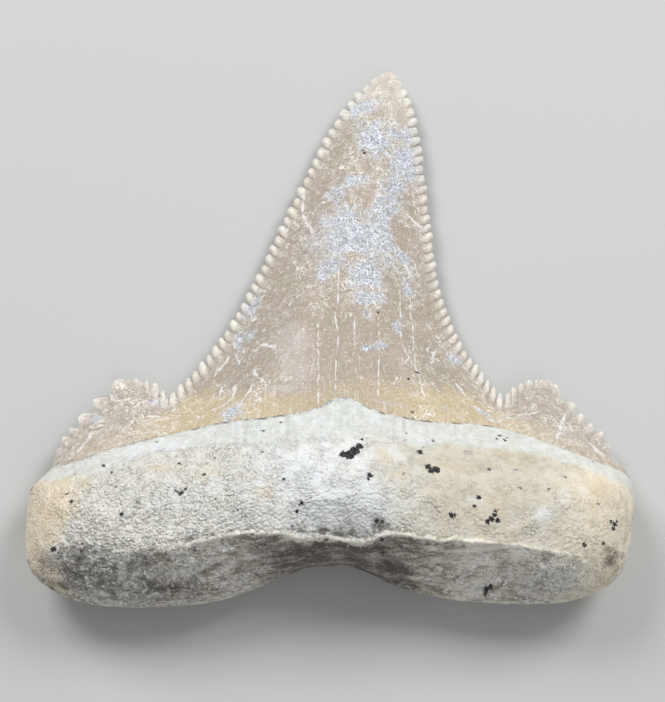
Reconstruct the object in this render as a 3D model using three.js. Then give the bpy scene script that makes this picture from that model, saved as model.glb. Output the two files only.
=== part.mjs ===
// A fossil shark tooth: one tall serrated blade between two low side cusps, on a broad root of two lobes.
// It is one piece, and it lies on its flatter outer face with the blade pointing along +Y.
// Millimetres, +X to the right of the blade, +Z up. The origin is at the centre of the tooth's underside.
import * as THREE from 'three';

// Driving dimensions
const serrations = 37; // down each cutting edge of the blade
const serrationDepth = 0.42;
const serrationCrowding = 0.12; // how much wider than the mean pitch they are at the tip
const smallestSerration = 0.5; // depth of the first one at the tip, as a share of the full depth
const serrationGrowth = 4; // how fast the share grows to 1, per length of the edge
const notchLean = 0.6; // how far the lowest serrations lean towards the tip, for each mm that they stand out
const cornersPerSerration = [0, 1, 1]; // its valley and the two shoulders of its bead
const bladeSerrations = 28; // the serrations above the fork, whose facets run in to the blade's middle line
const rootColumns = 52; // outline points from a notch round to the end of the root
const faceRings = 5; // rings of facets from the outline in to the crest of the inner, upper face
const underRings = 4; // and of the outer face, which lies underneath
const ringGrowth = 2; // rings widen inwards by this power, so that the rounded sides are well drawn
const bedDepth = 0.15; // how far the three resting places are worn flat
const blendPower = 4; // the rim's own profile spreads inwards by inverse distance to this power

const bladeColumns = bladeSerrations * cornersPerSerration.length;
const archColumns = (serrations - bladeSerrations) * cornersPerSerration.length;

const tip = [5.2, 26.65];
const fork = [1, -9]; // where the middle lines of the blade and of the two lobes meet
const archTop = [0.8, -17.15];

// Valley line of each cutting edge, from the tip to the notch beside the side cusp
const leftEdge = [tip, [3.7, 25.55], [0.75, 21.35], [-2.45, 14.35], [-5.45, 7.1], [-8.1, 1.85], [-10.6, -1.75],
  [-12.5, -3.85]];
const rightEdge = [tip, [5.9, 25.6], [6.85, 22.55], [7.5, 17.4], [7.95, 11.9], [8.5, 6.8], [9.65, 2.4],
  [11.55, -1.2], [13.6, -3.95]];

// Side cusps from the notch outwards: valley, point, valley, point
const leftCusp = [[-12.5, -3.85], [-12.65, -3.3], [-12.8, -3.4], [-13.05, -2.7], [-13.25, -2.8], [-13.5, -2.1],
  [-14, -2.3], [-14.3, -1.9], [-14.6, -2.1], [-15.2, -1.6], [-15.5, -1.8], [-16.1, -1.65], [-17, -1.9],
  [-17.2, -3.2], [-18, -3.3], [-18.5, -3.6], [-18.5, -4.4], [-19.35, -4.75], [-19.6, -5.1], [-19.45, -5.8],
  [-20.05, -5.8], [-20.25, -6.4], [-20.6, -6.6], [-20.8, -7.4], [-21.05, -7.55], [-21.1, -8.9]];
const rightCusp = [[13.6, -3.95], [13.9, -3.1], [14.25, -2.9], [14.5, -2.35], [14.85, -2.5], [15.1, -2.05],
  [15.4, -2.25], [15.7, -1.85], [16.1, -2], [16.7, -1.7], [17.4, -1.9], [18, -2.5], [18.2, -2.9],
  [18, -3.5], [18.9, -3.6], [19.25, -4.1], [19.1, -4.9], [19.6, -4.65], [20, -5.7], [20.4, -5.45],
  [20.7, -6.2], [21.1, -6.15], [21.4, -7.1], [21.6, -7.2], [21.75, -8.2]];

// Root from the side cusp round its end to the arch between the lobes
const leftRoot = {
  shoulder: [[-21.1, -8.9], [-21.3, -9.9], [-21.85, -10.6], [-22.15, -11.8], [-22.35, -13.8]],
  lobe: [[-22.35, -13.8], [-22.2, -17], [-21, -18.8], [-18.2, -20.2], [-14.2, -20.6], [-10, -20.35]],
  arch: [[-10, -20.35], [-8, -20.05], [-5.6, -19.2], [-3, -17.9], [-1.2, -17.3], archTop],
};
const rightRoot = {
  shoulder: [[21.75, -8.2], [21.95, -9.3], [22.45, -9.9], [22.75, -11.4], [22.5, -13.8]],
  lobe: [[22.5, -13.8], [22, -16.8], [20.8, -18.8], [17.6, -20.15], [13.4, -20.3], [11, -20.15]],
  arch: [[11, -20.15], [8.6, -19.9], [5.2, -19], [3, -17.8], [2, -17.3], archTop],
};

// Middle lines that the facets run in to
const bladeLine = [[5, 25.7], [4.4, 24], [3.7, 20], [2.6, 15], [1.9, 10], [1.1, 5], [0.75, 0], fork];
const lobeLines = {
  left: { inner: [fork, [-4, -11.6], [-11, -13.5]], outer: [[-11, -13.5], [-17.8, -13.7]] },
  right: { inner: [fork, [5.6, -11.6], [12.2, -13.5]], outer: [[12.2, -13.5], [18, -13.7]] },
};

// Rim profiles, at fractions of the way along each stretch: [fraction, height of the rim, how far in the face
// reaches its full height, how it leaves the rim (0.5 is round and 1 a blade), how it arrives (1.57 is smooth
// and 0.6 a crest), and how far in the underside reaches its full depth]
const rimOf = {
  edge: [[0, 1.2, 1, 1, 1.57, 0.8], [0.1, 1.15, 2.2, 1.05, 1.57, 2], [0.4, 1.1, 5, 1.15, 1.57, 3],
    [0.72, 1.2, 7.6, 1.1, 1.57, 3.4], [0.9, 1.35, 6.6, 1, 1.57, 3.4], [1, 1.5, 5.4, 0.95, 1.57, 3.2]],
  cusp: [[0, 1.5, 5.4, 0.95, 1.57, 3.2], [0.5, 1.6, 5.6, 0.85, 1.57, 3], [1, 2, 4.6, 0.7, 1.57, 3.2]],
  shoulder: [[0, 2, 4.6, 0.7, 1.57, 3.2], [0.45, 3.2, 4.2, 0.55, 1.57, 3.4], [1, 4.2, 4.6, 0.5, 1.57, 4]],
  lobe: [[0, 4.2, 4.6, 0.5, 1.57, 4], [0.36, 3.9, 4, 0.55, 1.2, 4], [1, 3.5, 3.1, 0.7, 0.8, 3.6]],
  arch: [[0, 3.5, 3.1, 0.7, 0.8, 3.6], [0.5, 3.1, 2.6, 0.7, 0.7, 2.8], [0.75, 2.6, 1.1, 0.6, 0.8, 1.6],
    [1, 2.5, 0.9, 0.6, 0.8, 1.4]],
};

// Full height of the upper face along the blade's middle, and along the middle of a lobe: [y, z]
const bladeProfile = [[-22, 8.2], [-17, 9.1], [-14, 9.8], [-12, 9.6], [-10.3, 8.9], [-8, 7.9], [-5.5, 7.2], [0, 6.3],
  [5, 5.5], [15, 3.6], [22, 2.3], [27, 1.3]];
const lobeProfile = [[-22, 8.4], [-17, 9.2], [-14.5, 9.5], [-12.5, 9.1], [-11, 8.1], [-9, 6.7], [-7.5, 5.6],
  [-5, 4.3], [-2, 3], [0, 2.4], [27, 1.3]];
const lobeReach = [4, 13]; // across this width, either side of the middle, one profile turns into the other
const endFall = 0.02; // the upper face falls towards the ends of the root, by this times the distance squared

// What the underside rests on: middle of each place, and how wide it is
const restingPlaces = [{ at: [-13.5, -13.5], reach: 6.5 }, { at: [13.5, -13.5], reach: 6.5 },
  { at: [2, 7], reach: 6.5 }];
const underHollow = 0.6; // depth of the underside's hollows between the resting places

const vector = ([x, y]) => new THREE.Vector2(x, y);

// A smooth curve through the points, as equally spaced points
function curveThrough(points, steps) {
  return new THREE.SplineCurve(points.map(vector)).getSpacedPoints(steps);
}

// Straight interpolation between stations, which start with their own place
function stationAt(stations, place) {
  const last = stations.length - 2;
  let index = 0;
  while (index < last && stations[index + 1][0] < place) index += 1;
  const [before, after] = [stations[index], stations[index + 1]];
  const share = THREE.MathUtils.clamp((place - before[0]) / (after[0] - before[0]), 0, 1);
  return before.slice(1).map((value, k) => THREE.MathUtils.lerp(value, after[k + 1], share));
}

// Outline columns: the base point, the point that stands out from it, and the rim's profile there
const withRim = (bases, stations, points = bases) => bases.map((base, k) => ({
  base,
  point: points[k],
  rim: stationAt(stations, k / (bases.length - 1)),
}));

// One cutting edge, with its serrations standing out from the valley line and leaning more towards the notch
function cuttingEdge(valleyLine, outward) {
  const curve = new THREE.SplineCurve(valleyLine.map(vector));
  const corners = cornersPerSerration.length;
  const steps = serrations * corners;
  const bases = [];
  const points = [];
  for (let k = 0; k <= steps; k += 1) {
    const share = k / steps;
    const along = share * (1 + serrationCrowding) - serrationCrowding * share * share;
    const base = curve.getPointAt(along);
    const tangent = curve.getTangentAt(along);
    const normal = new THREE.Vector2(tangent.y, -tangent.x).multiplyScalar(outward);
    const growth = Math.min(1, smallestSerration + serrationGrowth * share);
    const height = k === steps ? 0 : serrationDepth * cornersPerSerration[k % corners] * growth;
    const lean = notchLean * height * share ** 3;
    bases.push(base);
    points.push(base.clone().addScaledVector(normal, height).addScaledVector(tangent, -lean));
  }
  return withRim(bases, rimOf.edge, points);
}

// Outline of one side, from the tip to the end of the root, and from there along the lobe to the arch
function sideOutline(edge, cusp, root, outward) {
  const shoulderSteps = rootColumns - (cusp.length - 1);
  const upper = cuttingEdge(edge, outward)
    .concat(withRim(cusp.map(vector), rimOf.cusp).slice(1))
    .concat(withRim(curveThrough(root.shoulder, shoulderSteps), rimOf.shoulder).slice(1));
  const lower = withRim(curveThrough(root.lobe, rootColumns), rimOf.lobe)
    .concat(withRim(curveThrough(root.arch, archColumns), rimOf.arch).slice(1));
  return { upper, lower };
}

// The whole outline, from the tip down the left side, round the root and up the right side, with the place on
// the middle lines that each outline point's facets run in to
function outline() {
  const left = sideOutline(leftEdge, leftCusp, leftRoot, 1);
  const right = sideOutline(rightEdge, rightCusp, rightRoot, -1);
  const middle = curveThrough(bladeLine, bladeColumns);
  const lobeStart = {};
  for (const [side, { inner, outer }] of Object.entries(lobeLines)) {
    lobeStart[side] = middle.length - 1;
    middle.push(...curveThrough(inner, archColumns).slice(1), ...curveThrough(outer, rootColumns).slice(1));
  }
  const onLobe = (side, step) => (step === 0 ? bladeColumns : lobeStart[side] + step);
  const upperPlace = (side, k) => (k <= bladeColumns ? k : onLobe(side, k - bladeColumns));
  const lowerPlace = (side, k) => onLobe(side, archColumns + rootColumns - k);

  const placed = (stretch, side, place) => stretch.map((column, k) => ({ ...column, place: place(side, k) }));
  const columns = [
    ...placed(left.upper, 'left', upperPlace),
    ...placed(left.lower, 'left', lowerPlace).slice(1),
    ...placed(right.lower, 'right', lowerPlace).reverse().slice(1),
    ...placed(right.upper, 'right', upperPlace).reverse().slice(1, -1),
  ];
  return { columns, middle };
}

const smooth = THREE.MathUtils.smoothstep;

// Full height of the upper face, away from its rim
function faceHeight({ x, y }) {
  const side = Math.abs(x - fork[0]);
  const share = smooth(side, ...lobeReach) * (1 - smooth(y, -4, 4));
  const fall = endFall * Math.max(0, side - lobeReach[1]) ** 2;
  return THREE.MathUtils.lerp(stationAt(bladeProfile, y)[0], stationAt(lobeProfile, y)[0], share) - fall;
}

// Depth of the underside, away from its rim: hollow, but worn flat at the resting places
function underHeight({ x, y }) {
  const rest = restingPlaces.map(({ at, reach }) => Math.exp(-(((x - at[0]) ** 2 + (y - at[1]) ** 2) / reach ** 2)));
  return Math.max(0, underHollow * (1 - Math.max(...rest)) - bedDepth);
}

// Both heights at a point: the rim's profile there, bent up to the face and down to the underside
function heightsAt(point, columns) {
  let nearest = Infinity;
  let total = 0;
  const mean = [0, 0, 0, 0, 0];
  for (const column of columns) {
    const distance = Math.max(point.distanceTo(column.base), 1e-6);
    const weight = distance ** -blendPower;
    nearest = Math.min(nearest, distance);
    total += weight;
    column.rim.forEach((value, k) => { mean[k] += weight * value; });
  }
  const [rimHeight, reach, leave, arrive, underReach] = mean.map((value) => value / total);
  const rise = Math.sin(arrive * Math.min(1, nearest / reach) ** leave) / Math.sin(arrive);
  const sink = Math.sin((Math.PI / 2) * Math.min(1, nearest / underReach) ** leave);
  return {
    upper: rimHeight + (faceHeight(point) - rimHeight) * rise,
    under: rimHeight + (underHeight(point) - rimHeight) * sink,
  };
}

// The closed skin: rings of facets from the outline in to the middle lines, above and below
function toothGeometry() {
  const { columns, middle } = outline();
  const positions = [];
  const triangles = [];
  const addVertex = (point, height) => positions.push(point.x, point.y, height) / 3 - 1;
  const rimRing = columns.map(({ point, rim }) => addVertex(point, rim[0]));

  for (const [side, rings] of [['upper', faceRings], ['under', underRings]]) {
    const middleRing = middle.map((point) => addVertex(point, heightsAt(point, columns)[side]));
    let outer = rimRing;
    for (let ring = 1; ring <= rings; ring += 1) {
      const share = (ring / rings) ** ringGrowth;
      const inner = columns.map(({ base, place }) => {
        if (ring === rings) return middleRing[place];
        const inside = base.clone().lerp(middle[place], share);
        return addVertex(inside, heightsAt(inside, columns)[side]);
      });
      columns.forEach((column, k) => {
        const next = (k + 1) % columns.length;
        const faces = [[outer[k], outer[next], inner[next]], [outer[k], inner[next], inner[k]]];
        triangles.push(...faces.flatMap((face) => (side === 'upper' ? face : face.reverse())));
      });
      outer = inner;
    }
  }
  const geometry = new THREE.BufferGeometry();
  geometry.setAttribute('position', new THREE.Float32BufferAttribute(positions, 3));
  geometry.setIndex(triangles);
  geometry.computeBoundingBox();
  const { min, max } = geometry.boundingBox;
  geometry.translate(-(min.x + max.x) / 2, -(min.y + max.y) / 2, -min.z);
  geometry.computeVertexNormals();
  return geometry;
}

const fossilEnamel = new THREE.MeshStandardMaterial({ color: 0xcfc0a4, roughness: 0.55, metalness: 0 });
const tooth = new THREE.Mesh(toothGeometry(), fossilEnamel);
tooth.name = 'tooth';

const sharkTooth = new THREE.Group();
sharkTooth.add(tooth);

export default sharkTooth;
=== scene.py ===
import math
from functools import reduce

import bpy
import numpy as np
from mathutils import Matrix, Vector


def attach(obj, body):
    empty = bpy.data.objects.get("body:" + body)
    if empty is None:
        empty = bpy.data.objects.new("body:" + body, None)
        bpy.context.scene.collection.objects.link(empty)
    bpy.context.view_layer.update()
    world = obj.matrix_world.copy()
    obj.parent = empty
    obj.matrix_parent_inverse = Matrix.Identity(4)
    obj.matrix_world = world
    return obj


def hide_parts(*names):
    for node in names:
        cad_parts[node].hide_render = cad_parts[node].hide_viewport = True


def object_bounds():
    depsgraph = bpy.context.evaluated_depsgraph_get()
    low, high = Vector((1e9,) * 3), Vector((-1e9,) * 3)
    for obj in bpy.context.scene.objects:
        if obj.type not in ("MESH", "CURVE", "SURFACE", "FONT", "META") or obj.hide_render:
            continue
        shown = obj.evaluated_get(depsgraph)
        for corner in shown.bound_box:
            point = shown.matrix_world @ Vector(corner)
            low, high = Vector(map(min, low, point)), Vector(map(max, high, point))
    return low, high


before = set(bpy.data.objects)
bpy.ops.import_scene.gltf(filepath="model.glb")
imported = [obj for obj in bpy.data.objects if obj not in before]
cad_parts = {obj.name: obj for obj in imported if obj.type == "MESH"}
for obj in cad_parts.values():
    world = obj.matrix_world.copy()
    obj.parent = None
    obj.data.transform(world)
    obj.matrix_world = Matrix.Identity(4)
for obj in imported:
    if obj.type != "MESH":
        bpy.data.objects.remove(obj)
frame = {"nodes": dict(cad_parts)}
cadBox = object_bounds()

print("frame loaded:", ", ".join(frame["nodes"]))

# A fossil shark tooth lying on its outer face. Shapes are worked out in millimetres, x across the root and
# y towards the tip of the blade, and are centred on the frame's own box at the end.

millimetre = 0.001

toothForm = {
    "tip": (5.2, 26.65),
    "fork": (1.0, -9.0),  # where the middle lines of the blade and the two lobes meet
    "archTop": (0.8, -17.38),
    # valley lines of the two cutting edges, tip to notch
    "leftEdge": [(3.7, 25.55), (0.75, 21.35), (-2.45, 14.35), (-5.45, 7.1), (-8.1, 1.85), (-10.6, -1.75),
                 (-12.5, -3.85)],
    "rightEdge": [(5.9, 25.6), (6.85, 22.55), (7.5, 17.4), (7.95, 11.9), (8.5, 6.8), (9.65, 2.4),
                  (11.55, -1.2), (13.6, -3.95)],
    # side cusps, from the notch outwards
    "leftCusp": [(-12.5, -3.85), (-12.55, -3.4), (-12.75, -3.35), (-12.8, -2.9), (-13.05, -2.75),
                 (-13.3, -3), (-13.3, -2.45), (-13.55, -2.15), (-13.8, -2.2), (-14.05, -2.45), (-14.1, -2.1),
                 (-14.3, -1.95), (-14.55, -2.2), (-14.7, -1.95), (-14.9, -2), (-15, -1.8), (-15.2, -1.75),
                 (-15.5, -1.95), (-15.65, -1.8), (-15.9, -1.85), (-16.15, -1.8), (-16.5, -1.85),
                 (-16.85, -2.05), (-17.05, -2.55), (-17.15, -3.2), (-17.05, -3.4), (-17.55, -3.35),
                 (-18.25, -3.55), (-18.4, -3.75), (-18.4, -4.3), (-18.3, -4.65), (-18.85, -4.7),
                 (-19.2, -4.9), (-19.45, -5.25), (-19.45, -5.65), (-19.3, -6.05), (-19.8, -6), (-20, -6.1),
                 (-20.1, -6.4), (-20, -6.7), (-20.4, -6.75), (-20.6, -7.15), (-20.6, -7.65), (-20.85, -7.75),
                 (-20.95, -8.2), (-21.1, -8.9)],
    "rightCusp": [(13.6, -3.95), (13.75, -3.7), (13.9, -3.05), (14.25, -2.9), (14.3, -2.6), (14.5, -2.5),
                  (14.85, -2.75), (14.9, -2.35), (15.05, -2.15), (15.4, -2.4), (15.45, -2.05), (15.7, -1.9),
                  (15.9, -1.95), (16.1, -2.2), (16.15, -1.95), (16.35, -1.85), (16.5, -2.05), (16.6, -1.85),
                  (16.75, -1.85), (16.85, -2), (17, -1.9), (17.25, -1.95), (17.6, -2.25), (17.85, -2.3),
                  (18, -2.6), (18.1, -3), (18.1, -3.3), (18, -3.65), (18.25, -3.5), (18.4, -3.75),
                  (18.55, -3.7), (18.95, -3.85), (19.2, -4.1), (19.15, -4.55), (19.2, -4.8), (19.15, -5.05),
                  (19.4, -4.85), (19.65, -4.85), (19.8, -5.25), (19.85, -5.9), (20.1, -5.7), (20.3, -5.65),
                  (20.5, -6.1), (20.55, -6.45), (21, -6.4), (21.15, -6.5), (21.3, -7.4), (21.5, -7.35),
                  (21.6, -7.6), (21.75, -8.2)],
    # root: shoulder, end of the lobe, and the lower edge in to the arch
    "leftShoulder": [(-21.1, -8.9), (-21.15, -9.8), (-21.4, -10.25), (-21.95, -10.6), (-22.3, -11.2),
                     (-22.4, -12), (-22.35, -13.8)],
    "leftLobe": [(-22.35, -13.8), (-22.2, -17), (-21, -18.8), (-18.2, -20.2), (-14.2, -20.6), (-10, -20.35)],
    "leftArch": [(-10, -20.35), (-8, -20.05), (-5.6, -19.2), (-3, -18.05), (-1.2, -17.52)],
    "rightShoulder": [(21.75, -8.2), (21.8, -9.1), (22.2, -9.6), (22.7, -10.4), (22.85, -11.6),
                      (22.6, -13.8)],
    "rightLobe": [(22.6, -13.8), (22, -16.8), (20.8, -18.8), (17.6, -20.15), (13.4, -20.3), (11, -20.15)],
    "rightArch": [(11, -20.15), (8.6, -19.9), (5.2, -19), (3, -17.98), (2, -17.52)],
    # where the upper face of the root turns over into the basal face, and where the enamel of the crown ends
    "crest": [(-23, -18.4), (-17.8, -18), (-13, -17.75), (-10.8, -17.5), (-8.7, -17.15), (-6.6, -16.8),
              (-4.7, -16.6), (-3.1, -16.7), (-1.8, -16.72), (-0.5, -16.5), (0.5, -16.72), (1.8, -16.85),
              (3.2, -16.8), (4.3, -16.6), (5.2, -16.7), (6.1, -16.85), (7.3, -17.02), (9, -17.15),
              (12, -17.4), (15, -17.7), (18, -18.05), (23, -18.7)],
    "crownBase": [(-23, -9.5), (-21, -9.6), (-18.8, -10.1), (-16.1, -9.4), (-13.5, -8.5), (-10.4, -7.4),
                  (-7, -7.2), (-4.3, -7.2), (-2.5, -6.9), (-1.7, -6.75), (-1.1, -6.55), (-0.55, -6.3),
                  (-0.1, -6), (0.2, -5.75), (0.6, -5.57), (1.2, -5.52), (1.7, -5.6), (2.15, -5.85),
                  (2.6, -6.15), (3.3, -6.55), (3.9, -6.85), (4.8, -7.08), (6.5, -7.4), (8.8, -7.4), (11, -7),
                  (13, -7.1), (14.6, -7.9), (16.6, -9), (18.6, -9.8), (20.5, -10.3), (23, -10.6)],
    "bandTop": [(-23, -9), (-17.2, -7.7), (-14.9, -6.9), (-13, -5.3), (-10.9, -3.4), (-7.5, -4.4),
                (-3.6, -5.4), (0.1, -4.4), (3.9, -4.1), (6.9, -4.5), (9.7, -3.6), (11.7, -4.1), (13.3, -5),
                (16, -6.8), (18.9, -8.1), (23, -9.4)],
    "crownBaseUnder": [(-23, -9.6), (-20, -9.4), (-12, -8.6), (0, -9.8), (12, -8.6), (20, -9.6), (23, -10.4)],
    # middle lines
    "bladeLine": [(5, 25.7), (4.4, 24), (3.7, 20), (2.6, 15), (1.9, 10), (1.1, 5), (0.75, 0)],
    "leftLobeLine": [(-4, -11.6), (-11, -13.5), (-17.8, -13.7)],
    "rightLobeLine": [(5.6, -11.6), (12.2, -13.5), (18, -13.7)],
}

serrationForm = {
    "perEdge": 37,
    "aboveFork": 28,  # these face the blade's middle line, the others the lobe's
    "columnsEach": 9,
    "depth": {"left": 0.43, "right": 0.4},
    "crowding": 0.12,  # wider than the mean pitch at the tip, by this share, and narrower at the notch
    "pitchJitter": 0.16,
    "depthJitter": 0.22,
    "lean": 0.9,  # towards the tip, growing to the notch
    "roundness": 0.55,
    "firstSize": 0.12, "growth": 8,  # the first bead's share of full size, and how fast they grow
    "edgeEnd": (0.9, 0.99),  # shares of the edge over which its base line is smoothed into the cusp's
}

gridForm = {
    "cuspColumns": 132,
    "shoulderColumns": 36,
    "faceRings": 52,
    "underRings": 13,
    "ringGrowth": 1.4,
}

# rim profiles along each stretch: share of the way, rim height, how far in the upper face is full height, how
# it leaves the rim (0.5 round, 1 a blade), how far in the underside is full
rimForm = {
    "edge": [(0, 1.2, 1, 1, 0.8), (0.1, 1.15, 2.2, 1.05, 2), (0.4, 1.1, 5, 1.15, 3),
             (0.72, 1.2, 7.6, 1.1, 3.4), (0.9, 1.35, 6.6, 1, 3.4), (1, 1.5, 5.4, 0.95, 3.2)],
    "cusp": [(0, 1.5, 5.4, 0.95, 3.2), (0.5, 1.6, 5.6, 0.85, 3), (1, 2, 4.6, 0.7, 3.2)],
    "shoulder": [(0, 2, 4.6, 0.7, 3.2), (0.45, 3.2, 4.2, 0.55, 3.4), (1, 4.2, 4.8, 0.5, 4)],
    "lobe": [(0, 4.2, 4.8, 0.5, 4), (0.5, 3.8, 4.4, 0.55, 4), (1, 3.5, 4, 0.7, 3.6)],
    "arch": [(0, 3.5, 4, 0.7, 3.6), (0.5, 3.3, 3.4, 0.7, 2.8), (0.75, 3.9, 3, 0.6, 2.2),
             (1, 4.4, 3, 0.6, 2.2)],
    # the crest: where along each lobe it begins and is whole, and how sharp it is (0.6 sharp, 1.57 smooth)
    "crestFrom": {"left": (0.6, 1), "right": (0.4, 0.85)}, "crestArrival": 0.75,
}

faceForm = {
    # heights of the upper face along the blade's middle and along the middle of a lobe: (y, z)
    "blade": [(-22, 8.2), (-17, 9.1), (-14, 9.8), (-12, 9.6), (-10.3, 8.9), (-8, 7.9), (-5.5, 7.2), (0, 6.3),
              (5, 5.5), (15, 3.6), (22, 2.3), (27, 1.3)],
    "lobe": [(-22, 8.4), (-17, 9.2), (-14.5, 9.5), (-12.5, 9.1), (-11, 8.1), (-9, 6.7), (-7.5, 5.6),
             (-5, 4.3), (-2, 3), (0, 2.4), (27, 1.3)],
    "lobeFrom": 4, "lobeFull": 13, "endFall": 0.02,
    "dent": {"at": (0.9, -17.4), "size": (3.4, 2.4), "depth": 1.6},  # over the arch
    "restingPlaces": [(-13.5, -13.5), (13.5, -13.5), (2, 7)],
    "restReach": 6.5, "underHollow": 0.6, "bed": 0.15,
    "beadHeight": 0.22, "beadReach": 0.32, "beadRoundness": 0.6,
    "beadsFade": (-9.5, -7.5),  # no beads round the root
    "smoothing": 5,  # columns on either side that the base line is smoothed over
    "teethFade": (0.5, 0.7),  # mm over which the outline's teeth fade out: the least, and more on the cusps
    "lobeEnd": (-4, 4),  # the lobe's profile fades out between these y
}


curveSteps = 3000
drawCount = 8192  # random draws shared by the corners of a lattice


def curveThrough(points, steps):
    # Catmull-Rom cubics through the points, whose slopes are half the way between the neighbours, at equal
    # steps
    points = np.asarray(points, float)
    padded = np.vstack([points[:1], points, points[-1:]])
    place = np.linspace(0, len(points) - 1, curveSteps)
    index = np.minimum(place.astype(int), len(points) - 2)
    t = (place - index)[:, None]
    p0, p1, p2, p3 = (padded[index + k] for k in range(4))
    fine = p1 + t * (p2 - p0) / 2 + t**2 * (p0 - 2.5 * p1 + 2 * p2 - p3 / 2)
    fine = fine + t**3 * (1.5 * (p1 - p2) + (p3 - p0) / 2)
    run = np.concatenate([[0], np.cumsum(np.hypot(*np.diff(fine, axis=0).T))])
    wanted = steps * run[-1] if np.ndim(steps) else np.linspace(0, run[-1], steps + 1)
    return np.stack([np.interp(wanted, run, fine[:, k]) for k in range(2)], axis=1)


def throughStations(stations, place):
    # straight lines between the stations, whose first number is their place
    stations = np.asarray(stations, float)
    return np.stack([np.interp(place, stations[:, 0], column) for column in stations[:, 1:].T], axis=-1)


def smoothProfile(stations, place):
    # cubic through the stations, with slopes from the neighbours on both sides
    where, height = np.asarray(stations, float).T
    slope = np.gradient(height, where)
    place = np.clip(place, where[0], where[-1])
    index = np.clip(np.searchsorted(where, place) - 1, 0, len(where) - 2)
    gap = where[index + 1] - where[index]
    t = (place - where[index]) / gap
    bend = (1 + 2 * t) * (1 - t) ** 2 * height[index] + t**2 * (3 - 2 * t) * height[index + 1]
    return bend + gap * (t * (1 - t) ** 2 * slope[index] - t**2 * (1 - t) * slope[index + 1])


def smoothStep(low, high, value):
    t = np.clip((value - low) / (high - low), 0, 1)
    return t * t * (3 - 2 * t)


def latticeDraw(x, y, z):
    # which of the draws belongs to a corner: its whole numbers times three primes, mixed bit by bit
    return (x * 73856093 ^ y * 19349663 ^ z * 83492791) & (drawCount - 1)


def valueNoise(points, size, seed):
    # random numbers on a cubic lattice, blended across each cell by a cubic ease, from -1 to 1
    grid = points / size
    cell = np.floor(grid).astype(np.int64)
    share = grid - cell
    share = share * share * (3 - 2 * share)
    draws = np.random.default_rng(seed).uniform(-1, 1, drawCount)
    total = np.zeros(len(points))
    for corner in range(8):
        step = np.array([corner & 1, corner >> 1 & 1, corner >> 2 & 1])
        weight = np.prod(np.where(step, share, 1 - share), axis=1)
        total += weight * draws[latticeDraw(*(cell + step).T)]
    return total


def cuttingEdge(side, turn, seed):
    # Valley line plus round beads: each stands out along the normal by a superellipse of its own phase, and
    # leans back towards the tip near the notch. Phases crowd at the valleys, so that their sharp corners are
    # drawn.
    form = serrationForm
    random = np.random.default_rng(seed)
    count, each = form["perEdge"], form["columnsEach"]
    knots = np.arange(count + 1.0)
    knots[1:-1] += random.uniform(-1, 1, count - 1) * form["pitchJitter"] / 2
    knots /= count
    knots = knots * (1 + form["crowding"]) - form["crowding"] * knots**2
    phase = (1 - np.cos(np.pi * np.arange(each) / each)) / 2
    which = np.append(np.repeat(np.arange(count), each), count - 1)
    phase = np.append(np.tile(phase, count), 1.0)
    along = knots[which] + phase * (knots[which + 1] - knots[which])
    line = [toothForm["tip"], *toothForm[side + "Edge"]]
    base = curveThrough(line, along)
    step = 0.01
    ahead = curveThrough(line, np.minimum(along + step, 1)) - curveThrough(line, np.maximum(along - step, 0))
    tangent = ahead / np.linalg.norm(ahead, axis=1)[:, None]
    normal = np.stack([tangent[:, 1], -tangent[:, 0]], axis=1) * turn
    depth = form["depth"][side] * (1 + random.uniform(-1, 1, count) * form["depthJitter"])
    growth = np.minimum(1, form["firstSize"] + form["growth"] * along)
    bead = (1 - np.abs(2 * phase - 1) ** 2) ** form["roundness"]
    height = (depth[which] * bead * growth)[:, None]
    lean = form["lean"] * along[:, None] ** 3
    return base, base + height * (normal - lean * tangent), along


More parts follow.
